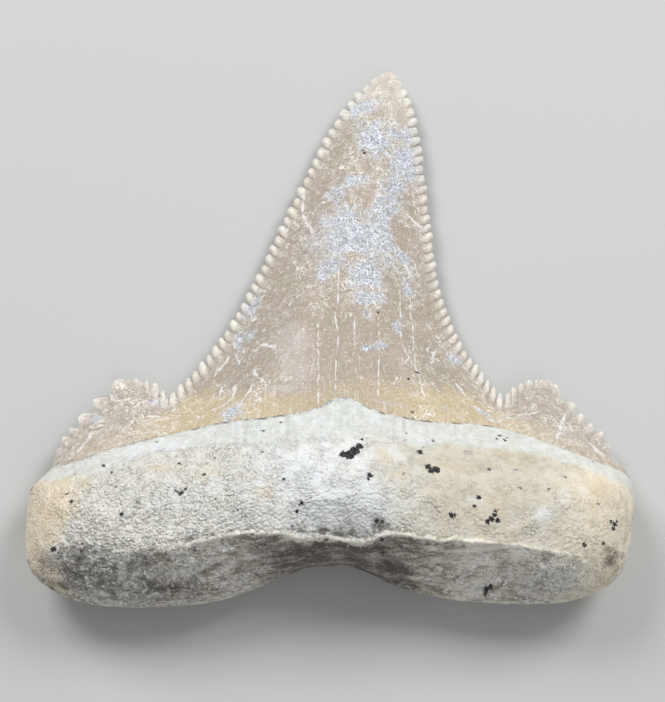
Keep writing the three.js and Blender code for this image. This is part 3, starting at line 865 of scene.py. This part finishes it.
# Colours are red, green, blue and, for most, how much of the colour shows. A grain is a noise's size in mm,
# its detail, roughness and twist. A fade is the two values between which a mark or a noise goes from none to
# full.
crownLook = {
    "beige": (171, 160, 143), "rosy": (178, 164, 150), "cusp": (173, 161, 149, 0.8), "band": (207, 187, 148),
    "pale": (198, 189, 183, 0.65), "mottle": (138, 120, 101, 0.28), "mottleLight": (240, 236, 229, 0.2),
    # the tip's cream is partly its paler enamel and partly a painted highlight
    "tipCreamAndHighlight": (212, 206, 193), "fold": (168, 150, 129, 0.25), "fleck": (240, 236, 229),
    "vein": (243, 241, 239), "crustShade": (150, 155, 166, 0.7), "crustSpeck": (106, 107, 114, 0.8),
    # the beads' colours: a paler rim and paler tops, partly the whiter enamel and partly painted highlight,
    # and darker valleys between them, a painted shade
    "crust": (236, 240, 248, 0.92), "paleRimAndHighlight": (238, 234, 225, 0.65), "beadTopHighlight": (238, 234, 225),
    "beadValleyShade": (118, 106, 91), "roughness": 0.46, "crustRoughness": 0.75,
    "cuspsFrom": (12, 13.5),  # distance from the middle line at which the side cusps begin
    "bandShare": (0.42, 0.4),  # how much of the band shows everywhere, and how much more where it is full
    "bandLoss": 1.3,  # on the cusps
    "bandShake": 3, "tipShake": 3, "crustShake": 3.5,  # how far noise moves the rims of the zones
    "streakShare": (0.6, 0.4),  # near the tip and everywhere
    # how much more often flecks come round the crust, on the calm lower middle (less often) and on the cusps
    "nearCrust": 0.14, "calm": 0.12, "nearCusps": 0.05,
    "smallCurls": 0.8, "dots": 0.75, "frost": 0.32, "lines": 0.8,
    "veinUneven": 0.55, "crackUneven": 0.22,
    "threadWidth": (0.05, 0.001),  # where the crust is whole, and the least
    "height": {"lines": 0.04, "thread": 0.03, "grain": 0.04},
    # narrow white cracks down the enamel, and wider white worm-eaten veins, as (x, y) points
    "cracks": [[(1.2, 9.9), (0.8, 6.7), (0.75, 4), (0.55, 1.5), (0.75, -0.7), (0.55, -2.3), (0.5, -5.3)],
               [(2, 1.5), (2, -1.4)], [(3.85, 2), (3.85, -0.7), (3.7, -5.4)],
               [(5.6, 4.8), (5.5, -0.3), (5.9, -1.6), (6.7, -3.1), (7.2, -5.4), (7.3, -6.9)],
               [(6.4, 4.4), (6.45, 0.7), (6.55, -2.2)], [(-0.8, 0.9), (-0.75, -6)],
               [(1.9, 11.4), (2.5, 14.7)], [(6.8, 15.4), (6.9, 14), (7.1, 12.2)]],
    "veins": [[(-2.1, 15.2), (-2.1, 12.7), (-1.3, 10)], [(1.3, 12.6), (1.7, 11.2)],
              [(5.95, 12.3), (6.7, 12.1), (7.5, 11.5)], [(5.55, 9), (6, 7.7), (6.55, 6.5)],
              [(6, 6), (6.5, 4.8)], [(-7.4, 1), (-7.3, -0.2), (-7, -1.4)],
              [(-7.8, -0.4), (-8.4, -1.2), (-8.9, -1.9)], [(-5.65, -0.6), (-5.2, -0.2), (-4.3, -0.75)],
              [(-5.7, -2.6), (-5.5, -3.2)], [(-8.3, -4.3), (-8.25, -3.4), (-7.9, -3.1)],
              [(-8.85, -5.7), (-8, -5.5), (-7.3, -4.8), (-7.1, -3.8)],
              [(-7.2, -6.6), (-6.6, -5.8), (-6, -4.8), (-5.75, -3.7)], [(-10.5, -5.4), (-9.8, -6.2)],
              [(8.3, 0.1), (7.9, -1.7)], [(7.5, -0.6), (7.8, -1.4)], [(5.15, -3.8), (5, -4.3)],
              [(11.2, -5), (11.8, -5.7), (12.6, -6.3)], [(9.9, -3.1), (10.7, -4.4)],
              [(-16.9, -3.8), (-16, -3.9), (-15, -4.5)],
              [(-18.7, -9.2), (-18.4, -8.6), (-18.1, -8), (-17.9, -6.9)], [(-13.8, -5.8), (-13, -5.6)],
              [(18.2, -5.2), (17.5, -7.2), (17, -8.4)], [(19.5, -8.1), (20.1, -8.9), (20.6, -9.3)],
              [(15.4, -5.6), (16.2, -5.5)]],
}

crownGrain = {
    "wide": (3.2, 3), "band": (1.3, 3), "pale": (0.5, 2), "streak": (1, 3, 0.6), "mottle": (0.24, 3, 0.7),
    "often": (1.9, 3), "smallOften": (0.7, 2), "frost": (0.55, 3, 0.6), "uneven": (0.5, 2),
    "torn": (0.9, 5, 0.7), "threads": (0.42, 2, 0.6, 0.5), "fineThreads": (0.2, 1, 0.5, 0.5),
    "holes": (0.21, 2, 0.7), "relief": (0.3, 1), "dots": 0.17, "streakStretch": (6, 0.45, 1),
    "curls": (0.7, 0.034), "smallCurls": (0.26, 0.05),  # size and width
    "veinShake": (0.8, 0.4, 1), "crackShake": (1.2, 0.35),  # size and amount
}

crownFade = {
    "rosy": (0.38, 0.62), "cusp": (11, 13.5), "bandSide": (1, 7), "bandEnd": (12, 16.5),
    "band": (0.9, -1), "pale": (0.3, 1), "mottle": (0.5, 0.34), "mottleLight": (0.52, 0.68),
    "tip": (21, 26), "tipStreak": (0.4, 0.6), "fold": (0.5, 0.3), "streak": (0.56, 0.72),
    "nearCrust": (-1.6, 0.2), "calmBelow": (4, 0), "calmSide": (6, 3.5), "curls": (0.52, 0.62),
    "smallCurls": (0.48, 0.62), "dot": (0.4, 0.2), "dotDraw": (0.64, 0.76), "frost": (0.5, 0.68),
    "veins": (0.13, 0.04), "cracks": (0.06, 0.02), "crust": (-0.1, 0.5), "swelling": (-0.9, 0.7),
    "thread": (1, 0.5), "holes": (0.36, 0.28),
}


def crownPaint(where, flow):
    # returns the colour, how much of it is crust, and its height in millimetres
    look, grain, fade = crownLook, crownGrain, crownFade
    side = abs(mark("across") - toothForm["fork"][0])
    wide = noise(where, *grain["wide"])
    colour = blend(ramp(wide, *fade["rosy"]), look["beige"], look["rosy"])
    colour = coat(colour, ramp(side, *fade["cusp"]), look["cusp"])
    inBand = mark("band") + wobble(where, *grain["band"]) * look["bandShake"]
    full = ramp(side, *fade["bandSide"]) - ramp(side, *fade["bandEnd"]) * look["bandLoss"]
    everywhere, more = look["bandShare"]
    inBand = ramp(inBand, *fade["band"]) * (everywhere + full * more)
    colour = coat(colour, inBand, look["band"])
    pale = ramp(mark("pale") + noise(where, *grain["pale"]), *fade["pale"])
    colour = coat(colour, pale, look["pale"])
    # streaks that follow the flow of the enamel, palest at the tip
    streak = noise(stretch(flow, grain["streakStretch"]), *grain["streak"])
    mottle = noise(where, *grain["mottle"])
    colour = coat(colour, ramp(mottle, *fade["mottle"]), look["mottle"])
    colour = coat(colour, ramp(mottle, *fade["mottleLight"]), look["mottleLight"])
    # near the tip, cream streaks down its middle: partly its paler enamel, partly a painted highlight along
    # its ridge
    high = ramp(mark("along") + wide * look["tipShake"], *fade["tip"]) * ramp(streak, *fade["tipStreak"])
    colour = coat(colour, high, look["tipCreamAndHighlight"])
    colour = coat(colour, ramp(streak, *fade["fold"]), look["fold"])
    atTip, everywhere = look["streakShare"]
    streaks = ramp(streak, *fade["streak"]) * (high * atTip + everywhere)
    # pale flecks: curls of two sizes and dots, thick round the crust
    near = ramp(mark("crusts"), *fade["nearCrust"]) * look["nearCrust"]
    calm = ramp(mark("along"), *fade["calmBelow"]) * ramp(side, *fade["calmSide"]) * look["calm"]
    near = near - calm + ramp(side, *look["cuspsFrom"]) * look["nearCusps"]
    often = noise(where, *grain["often"]) + near
    large = curls(where, *grain["curls"]) * ramp(often, *fade["curls"])
    small = curls(where, *grain["smallCurls"])
    small = small * ramp(noise(where, *grain["smallOften"]) + near, *fade["smallCurls"]) * look["smallCurls"]
    away, draw = cells(where, grain["dots"])
    dots = ramp(away, *fade["dot"]) * ramp(draw - calm, *fade["dotDraw"]) * look["dots"]
    flecks = most(most(large, small), most(dots, streaks))
    frost = patches(where, grain["frost"], fade["frost"])
    flecks = most(flecks, frost * ramp(side, *look["cuspsFrom"]) * look["frost"])
    colour = coat(colour, flecks, look["fleck"])
    # veins and cracks, of uneven width
    uneven = wobble(where, *grain["uneven"])
    veins = nearLines(shaken(where, *grain["veinShake"]), look["veins"]) + uneven * look["veinUneven"]
    veins = ramp(veins, *fade["veins"]) * look["lines"]
    cracks = nearLines(shaken(where, *grain["crackShake"]), look["cracks"]) + uneven * look["crackUneven"]
    cracks = ramp(cracks, *fade["cracks"]) * look["lines"]
    lines = most(veins, cracks) * mark("upper")
    colour = coat(colour, lines, look["vein"])
    # crust: pale winding threads, which swell until they close up, over a grey ground
    torn = mark("crusts") + wobble(where, *grain["torn"]) * look["crustShake"]
    crust = ramp(torn, *fade["crust"])
    whole, thin = look["threadWidth"]
    width = ramp(torn, *fade["swelling"]) * whole + thin
    gap = least(abs(wobble(where, *grain["threads"])), abs(wobble(where, *grain["fineThreads"])))
    thread = ramp(gap / width, *fade["thread"])
    colour = coat(colour, crust, look["crustShade"])
    holes = patches(where, grain["holes"], fade["holes"]) * crust
    colour = coat(colour, holes, look["crustSpeck"])
    colour = coat(colour, thread, look["crust"])
    # a paler rim along the edges, partly the enamel's paler edge and partly a painted highlight
    colour = coat(colour, mark("edge"), look["paleRimAndHighlight"])
    height = look["height"]
    relief = lines * height["lines"] + thread * height["thread"]
    return colour, crust, relief + noise(where, *grain["relief"]) * height["grain"]


rootLook = {
    "left": (231, 228, 218),
    # grounds laid one over another, each from one place across the root to where it is full
    "grounds": [((231, 232, 229), -10, -1), ((210, 204, 189), 2, 8), ((240, 226, 202), -17, -20.5),
                ((234, 224, 204), 15, 21)],
    "tan": (212, 193, 158, 0.55), "stain": (188, 177, 152, 0.5), "blueWhite": (228, 231, 235, 0.5),
    "neck": (203, 205, 197), "neckLight": (224, 227, 226), "neckShade": (166, 165, 158), "neckShare": 0.8,
    # the basal face's tones, darker than the root's: partly its own grey-brown, partly painted shade of a
    # face turned down and away from the lamps
    "basal": (152, 140, 122), "basalLight": (234, 229, 219), "basalRedShade": (60, 43, 30), "basalShare": 0.9,
    # the dark patches' colour, partly dirt and partly painted shade
    "ledge": (234, 229, 219, 0.85), "granule": (252, 251, 249), "soot": (68, 62, 55, 0.8),
    # the crest's pale line is a painted highlight, and the dark line above it a painted shadow
    "pit": (92, 85, 76), "crest": (242, 236, 222, 0.85), "crestShadow": (104, 90, 74, 0.5),
    # the black stains' grey grain stands partly for their sheen, a painted highlight
    "seam": (104, 90, 74), "black": (30, 30, 33), "blackGrainAndSheen": (92, 93, 98), "roughness": 0.82, "ribs": 0.4,
    # the ground's dark paint covers its specks and, as painted shade, its creases and hollows
    "lighterSides": 0.08, "calmerMiddle": 0.8, "basalRough": 0.8, "darkSpecksAndShade": 0.6, "pitted": (0.7, 0.2),
    # how far noise moves the rims of the zones
    "groundShake": 8, "tanShake": 4, "neckShake": 1.6, "blueShake": 3, "sootAndShadeShake": -6, "crestShake": 0.75,
    # the dark line above the crest is a painted shadow
    "darkAround": 1,  # the dark line above the crest is centred this far left of the middle
    "hollow": 0.4, "coarserOften": 0.1,
    # by coarseness, by how often creases come, and everywhere
    "darkSpecksAndShadeShare": (0.55, 0.3, 0.3), "height": (0.16, 0.2, 0.15),
    "smoothNeck": 0.7, "smoothTan": 0.6, "smoothRight": 0.45,
    "creaseDepth": 0.03, "layerHeight": 0.35, "granuleHeight": 0.07,
    "seamShare": (0.5, 0.3),  # where it is bold, and everywhere
    "crestAt": 0.02, "aboveCrestAt": 0.34,
    # manganese stains, as (x, y, radius)
    "spots": [(1.1, -10.6, 0.3), (1.5, -10.65, 0.42), (1.9, -10.3, 0.4), (2.25, -9.9, 0.3),
              (2.45, -9.25, 0.13), (7.2, -11.6, 0.24), (7.75, -11.85, 0.3), (7.4, -11.95, 0.24),
              (11.3, -15.85, 0.18), (11.55, -15.65, 0.2), (11.8, -15.4, 0.15), (12, -15.8, 0.19),
              (11.9, -15.1, 0.12), (20.6, -15.5, 0.19), (20.8, -15.25, 0.15), (20.5, -15.8, 0.15),
              (20.35, -15.45, 0.13), (3, -12.45, 0.21), (2.85, -12.75, 0.12), (6.6, -10.3, 0.19),
              (6.75, -10.45, 0.12), (8.8, -15.4, 0.2), (11.6, -11.6, 0.14), (10.7, -14.1, 0.16),
              (10.4, -14.7, 0.11), (11.4, -19.75, 0.2), (11.7, -19.6, 0.16), (18.2, -17.3, 0.17),
              (19.7, -17, 0.14), (-19.7, -17.3, 0.19), (-14.7, -15.3, 0.14), (-10.5, -13.8, 0.17),
              (-10.8, -13.6, 0.12), (-10.2, -13.5, 0.12), (-10.8, -11.2, 0.13), (-16.4, -11, 0.13),
              (-15.7, -11.8, 0.11), (-18.9, -13.4, 0.12), (-18.5, -14.1, 0.12), (-8.9, -12.3, 0.12),
              (12.8, -8.1, 0.12), (13.1, -8.6, 0.11), (12.5, -8.5, 0.1), (13.3, -8.3, 0.09),
              (3.8, -16.8, 0.13), (3.9, -17.5, 0.12), (-2.2, -15.1, 0.12), (-1.9, -14.5, 0.14),
              (-3.2, -12.8, 0.11), (-4.8, -8.4, 0.11), (2.9, 17.6, 0.14), (2.85, 17.9, 0.11), (3.8, 2, 0.1),
              (6.7, -3.2, 0.12), (6, -3.9, 0.1), (6.2, -6.8, 0.12), (3.4, -15.7, 0.16), (3.8, -15.8, 0.13)],
}

rootGrain = {
    "wide": (4, 3), "blotch": (1.1, 4, 0.6), "stain": (1.9, 6, 0.7), "ribs": (1, 1),
    "cloud": (0.6, 4, 0.65), "neck": (0.5, 4, 0.7), "streak": (1, 6, 0.68), "ledge": (1, 3, 0.6),
    "ledgeOften": (1.3, 2), "granules": (0.34, 2, 0.6), "granulesOften": (1.4, 3, 0.6),
    "grain": (0.3, 4, 0.7, 0.4), "bumps": (0.22, 1, 0.45), "crease": (0.4, 1, 0.5, 0.8),
    "often": (1.1, 4, 0.6), "pits": (0.24, 2, 0.7), "sootAndShadeWobble": (0.8, 5, 0.75), "layers": (1, 1, 0.45),
    "crest": (0.5, 4, 0.65), "broken": (1.8, 2), "ribStretch": (1.7, 0.1, 0.1),
    "streakStretch": (0.55, 1.5, 1.3), "ledgeStretch": (0.5, 1.7, 1.6), "layerStretch": (0.6, 1.7, 1.6),
}

rootFade = {
    "tan": (0, 1.3), "stain": (0.46, 0.64), "stainSide": (-2, 7), "ribs": (0.55, 0.68),
    "ribsEnd": (9, 5), "cloud": (0.36, 0.68), "neck": (0.1, 0.9), "lighterSides": (4, 12),
    "basalLight": (0.42, 0.66), "middle": (8.5, 2.5), "reddest": (0.88, 0.38), "ledge": (0.05, 0.01),
    "ledgeOften": (0.42, 0.52), "bluish": (-0.5, 1.3), "rough": (0.6, 0.95), "granules": (0.51, 0.61),
    "granulesOften": (0.45, 0.57), "often": (0.4, 0.66), "crease": (0.05, 0), "grain": (0.44, 0.3),
    "pits": (0.62, 0.7), "hollow": (0.02, 0.12), "soot": (-0.5, 1.4), "smoothRight": (2, 9),
    "crest": (0.2, 0.09), "broken": (0.36, 0.46), "nearMiddle": (11, 9), "crestShadow": (0.14, 0),
}


def rootPaint(where):
    # returns the colour and its height in millimetres
    look, grain, fade = rootLook, rootGrain, rootFade
    fork = toothForm["fork"][0]
    wide = noise(where, *grain["wide"])
    across = mark("across") + (wide - noiseMean) * look["groundShake"]
    colour = look["left"]
    for paint, start, full in look["grounds"]:
        colour = coat(colour, ramp(across, start, full), paint)
    blotch = wobble(where, *grain["blotch"])
    tan = ramp(mark("tan") + blotch * look["tanShake"], *fade["tan"])
    colour = coat(colour, tan, look["tan"])
    stain = patches(where, grain["stain"], fade["stain"]) * ramp(across, *fade["stainSide"])
    colour = coat(colour, stain, look["stain"])
    # neck: smooth and pale, with faint upright shadows
    neck = mark("neck")
    ribs = patches(stretch(where, grain["ribStretch"]), grain["ribs"], fade["ribs"])
    ribs = ribs * ramp(abs(mark("across")), *fade["ribsEnd"]) * look["ribs"]
    neckTone = blend(patches(where, grain["cloud"], fade["cloud"]), look["neck"], look["neckLight"])
    neckTone = coat(neckTone, ribs, look["neckShade"])
    neck = ramp(neck + wobble(where, *grain["neck"]) * look["neckShake"], *fade["neck"])
    colour = blend(neck * look["neckShare"], colour, neckTone)
    # basal face: streaked along its length, reddish at the middle and lighter towards the ends; its darker
    # tone is partly its own grey-brown and partly painted shade, as it faces down and away from the lamps,
    # deepest at the middle by the arch
    basal = mark("basal")
    streak = noise(stretch(where, grain["streakStretch"]), *grain["streak"])
    light = streak + ramp(abs(across - fork), *fade["lighterSides"]) * look["lighterSides"]
    basalTone = blend(ramp(light, *fade["basalLight"]), look["basal"], look["basalLight"])
    # the middle, by the arch, painted darker still as shade
    middle = ramp(abs(across - fork), *fade["middle"])
    basalTone = coat(basalTone, middle * ramp(streak, *fade["reddest"]), look["basalRedShade"])
    ledge = abs(wobble(stretch(where, grain["ledgeStretch"]), *grain["ledge"]))
    outer = 1 - middle * look["calmerMiddle"]
    ledge = ramp(ledge, *fade["ledge"]) * patches(where, grain["ledgeOften"], fade["ledgeOften"]) * outer
    basalTone = coat(basalTone, ledge, look["ledge"])
    colour = blend(basal * look["basalShare"], colour, basalTone)
    blue = ramp(mark("bluish") - blotch * look["blueShake"], *fade["bluish"])
    colour = coat(colour, blue, look["blueWhite"])
    rough = most(basal * outer * look["basalRough"], ramp(mark("coarse"), *fade["rough"]))
    granules = patches(where, grain["granules"], fade["granules"])
    granulesOften = patches(where, grain["granulesOften"], fade["granulesOften"])
    granules = granules * rough * granulesOften
    # leathery ground: bumps, creases between them, and pits, least on the neck; dark specks, with painted
    # shade in the creases and in the hollows cut into the mesh
    coarse = mark("coarse")
    bare = (1 - neck * look["smoothNeck"]) * (1 - tan * look["smoothTan"])
    grains = noise(where, *grain["grain"])
    bumps = noise(where, *grain["bumps"])
    crease = abs(wobble(where, *grain["crease"]))
    often = ramp(noise(where, *grain["often"]) + coarse * look["coarserOften"], *fade["often"])
    sunk = ramp(crease, *fade["crease"]) * often
    # dark specks, and painted shade along the creases of the bumps
    darkSpecksAndShade = most(ramp(grains, *fade["grain"]) * look["darkSpecksAndShade"], sunk * look["darkSpecksAndShade"])
    byCoarse, everywhere = look["pitted"]
    darkSpecksAndShade = most(darkSpecksAndShade, patches(where, grain["pits"], fade["pits"]) * (coarse * byCoarse + everywhere))
    # painted shade in the hollows cut into the mesh
    darkSpecksAndShade = most(darkSpecksAndShade, ramp(mark("hollow"), *fade["hollow"]) * look["hollow"])
    # dark patches, partly dirt and partly painted shade, low on the lobes and in the dent over the arch
    sootAndShadeWobble = wobble(where, *grain["sootAndShadeWobble"])
    soot = ramp(mark("soot") + sootAndShadeWobble * look["sootAndShadeShake"], *fade["soot"])
    colour = coat(colour, soot, look["soot"])
    colour = coat(colour, granules, look["granule"])
    byCoarse, byOften, everywhere = look["darkSpecksAndShadeShare"]
    share = coarse * byCoarse + often * byOften + everywhere
    colour = coat(colour, darkSpecksAndShade * bare * share, look["pit"])
    byCoarse, byOften, everywhere = look["height"]
    strength = coarse * byCoarse + often * byOften + everywhere
    height = bumps * strength - sunk * look["creaseDepth"]
    smoother = 1 - ramp(across, *fade["smoothRight"]) * look["smoothRight"]
    height = height * bare * smoother
    layers = noise(stretch(where, grain["layerStretch"]), *grain["layers"])
    height = height + layers * basal * look["layerHeight"] + granules * look["granuleHeight"]
    # crest: a broken pale line painted along its ridge as its highlight, with a painted shadow line above it
    # near the middle
    crest = mark("crest") + wobble(where, *grain["crest"]) * look["crestShake"]
    onCrest = mark("crestShare") * mark("upper")
    broken = noise(where, *grain["broken"])
    crestHighlight = ramp(abs(crest - look["crestAt"]), *fade["crest"]) * ramp(broken, *fade["broken"])
    colour = coat(colour, crestHighlight * onCrest, look["crest"])
    nearMiddle = ramp(abs(mark("across") + look["darkAround"]), *fade["nearMiddle"])
    # a painted shadow line just above the crest
    crestShadowLine = ramp(abs(crest - look["aboveCrestAt"]), *fade["crestShadow"]) * nearMiddle
    colour = coat(colour, crestShadowLine * onCrest, look["crestShadow"])
    return colour, height


jointLook = {
    # the seam between crown and root, and what lies over both: grains and fades as above
    "seamGrain": (0.6, 3), "seamShake": 0.22, "crown": (-0.03, 0.05), "seamAt": 0.05, "seam": (0.09, 0.03),
    "seamOften": (0.9, 3), "seamBroken": (0.44, 0.56), "boldFrom": (1, 3), "boldTo": (16, 10),
    # share of the painted bead highlight and valley shade on the blade, less this on the cusps
    "beadTopHighlight": (0.8, 0.15), "beadValleyShade": (0.75, 0.4), "top": (0, 0.7), "valley": (-0.05, -0.7),
    "spotGrain": (0.16, 3, 0.7), "spotTorn": 0.5, "spotShake": (0.3, 0.35, 3), "spot": (0.03, -0.03),
    "speckSize": 1.15, "speck": (0.13, 0.06), "speckDraw": (0.6, 0.62), "speckShare": 0.8,
    "blackGrainAndSheen": (0.13, 1), "blackFade": (0.5, 0.7),
    "glow": {"weight": 0.2, "radius": (1, 0.75, 0.5), "scale": 0.3 * millimetre},
}


def fossilMaterial():
    material = bpy.data.materials.new("fossilTooth")
    material.use_nodes = True
    tree = Value.tree = material.node_tree
    inputs = tree.nodes["Principled BSDF"].inputs
    look = jointLook
    where = node("Mapping", node("TexCoord", out=3), tuple(-move), None, (1 / millimetre,) * 3)
    flow = node("UVMap", uv_map="enamelFlow")
    jagged = mark("crown") + wobble(where, *look["seamGrain"]) * look["seamShake"]
    onCrown = ramp(jagged, *look["crown"])
    crownColour, crustShare, crownHeight = crownPaint(where, flow)
    rootColour, rootHeight = rootPaint(where)
    colour = blend(onCrown, rootColour, crownColour)
    seam = ramp(abs(jagged + look["seamAt"]), *look["seam"])
    seam = seam * patches(where, look["seamOften"], look["seamBroken"])
    side = abs(mark("across") - toothForm["fork"][0])
    bold, everywhere = rootLook["seamShare"]
    bold = ramp(side, *look["boldFrom"]) * ramp(side, *look["boldTo"]) * bold
    colour = coat(colour, seam * (bold + everywhere), rootLook["seam"])
    # bead tops painted paler, partly their whiter enamel and partly a painted highlight, and the valleys
    # between them painted darker as their shade
    stand = mark("stand")
    onCusp = ramp(side, *crownLook["cuspsFrom"])
    for name, fade in (("beadTopHighlight", "top"), ("beadValleyShade", "valley")):
        onBlade, lessOnCusp = look[name]
        share = onBlade - onCusp * lessOnCusp
        colour = coat(colour, ramp(stand, *look[fade]) * share, crownLook[name])
    torn = wobble(where, *look["spotGrain"]) * look["spotTorn"]
    black = nearSpots(shaken(where, *look["spotShake"]), rootLook["spots"]) + torn
    black = ramp(black, *look["spot"]) * mark("upper")
    away, draw = cells(where, look["speckSize"])
    specks = ramp(away + torn, *look["speck"])
    rare = ramp(draw, *look["speckDraw"])
    offCrown = 1 - onCrown
    black = most(black, specks * rare * offCrown * look["speckShare"])
    # grey grain in the black stains: partly grain, partly a painted highlight in place of their sheen
    grainy = patches(where, look["blackGrainAndSheen"], look["blackFade"])
    colour = blend(black, colour, blend(grainy, rootLook["black"], rootLook["blackGrainAndSheen"]))
    tree.links.new(colour.socket, inputs["Base Color"])
    crownRough = node("Mix", crustShare, None, crownLook["roughness"], crownLook["crustRoughness"])
    rough = node("Mix", onCrown, None, rootLook["roughness"], crownRough)
    tree.links.new(rough.socket, inputs["Roughness"])
    height = node("Mix", onCrown, None, rootHeight, crownHeight)
    bump = node("Bump", 1, millimetre, None, height)
    tree.links.new(bump.socket, inputs["Normal"])
    inputs["Subsurface Weight"].default_value = look["glow"]["weight"]
    inputs["Subsurface Radius"].default_value = look["glow"]["radius"]
    inputs["Subsurface Scale"].default_value = look["glow"]["scale"]
    return material


tooth.data.materials.append(fossilMaterial())
print("fossil material made")


def plainMaterial(name, colour, roughness):
    material = bpy.data.materials.new(name)
    material.use_nodes = True
    shader = material.node_tree.nodes["Principled BSDF"]
    shader.inputs["Base Color"].default_value = tone(*colour)
    shader.inputs["Roughness"].default_value = roughness
    return material


studio = {
    "elevation": 67, "lens": 85, "distance": 129.5, "target": (0.3, 0.0, 3.0),  # millimetres, before centring
    "floorSize": 2.0, "floorColour": (196, 196, 194),
    "keyPower": 0.72, "keySize": 0.18, "keysFrom": [(-0.17, 0.18, 0.27), (0.19, 0.15, 0.27)],
    "fillPower": 0.34, "fillSize": 0.3, "fillFrom": (0.1, -0.3, 0.35),
    "skyStrength": 0.28,
}


def makeFloor():
    size = studio["floorSize"] / 2
    corners = np.array([(-size, -size, 0), (size, -size, 0), (size, size, 0), (-size, size, 0)]) / millimetre
    floor = makeMesh("floor", corners, np.array([[0, 1, 2, 3]]))
    floor.data.materials.append(plainMaterial("paleFloor", studio["floorColour"], 0.8))


def aim(thing, place, target):
    thing.location = place
    thing.rotation_euler = (Vector(target) - Vector(place)).to_track_quat("-Z", "Y").to_euler()


def makeLight(name, place, size, power):
    lamp = bpy.data.lights.new(name, "AREA")
    lamp.shape = "DISK"
    lamp.size = size
    lamp.energy = power
    light = bpy.data.objects.new(name, lamp)
    bpy.context.scene.collection.objects.link(light)
    aim(light, place, (0, 0, 0))


def makeCamera():
    camera = bpy.data.cameras.new("camera")
    camera.lens = studio["lens"]
    camera.clip_start, camera.clip_end = 0.005, 20
    holder = bpy.data.objects.new("camera", camera)
    bpy.context.scene.collection.objects.link(holder)
    target = (np.array(studio["target"]) + move) * millimetre
    tilt = math.radians(studio["elevation"])
    back = np.array([0, -math.cos(tilt), math.sin(tilt)]) * studio["distance"] * millimetre
    aim(holder, tuple(target + back), tuple(target))
    bpy.context.scene.camera = holder


makeFloor()
for place in studio["keysFrom"]:
    makeLight("key", place, studio["keySize"], studio["keyPower"])
makeLight("fill", studio["fillFrom"], studio["fillSize"], studio["fillPower"])
makeCamera()
world = bpy.data.worlds.new("softSky")
world.use_nodes = True
world.node_tree.nodes["Background"].inputs["Color"].default_value = (0.92, 0.96, 1, 1)
world.node_tree.nodes["Background"].inputs["Strength"].default_value = studio["skyStrength"]
bpy.context.scene.world = world
bpy.context.scene.view_settings.view_transform = "Standard"
print("studio ready")
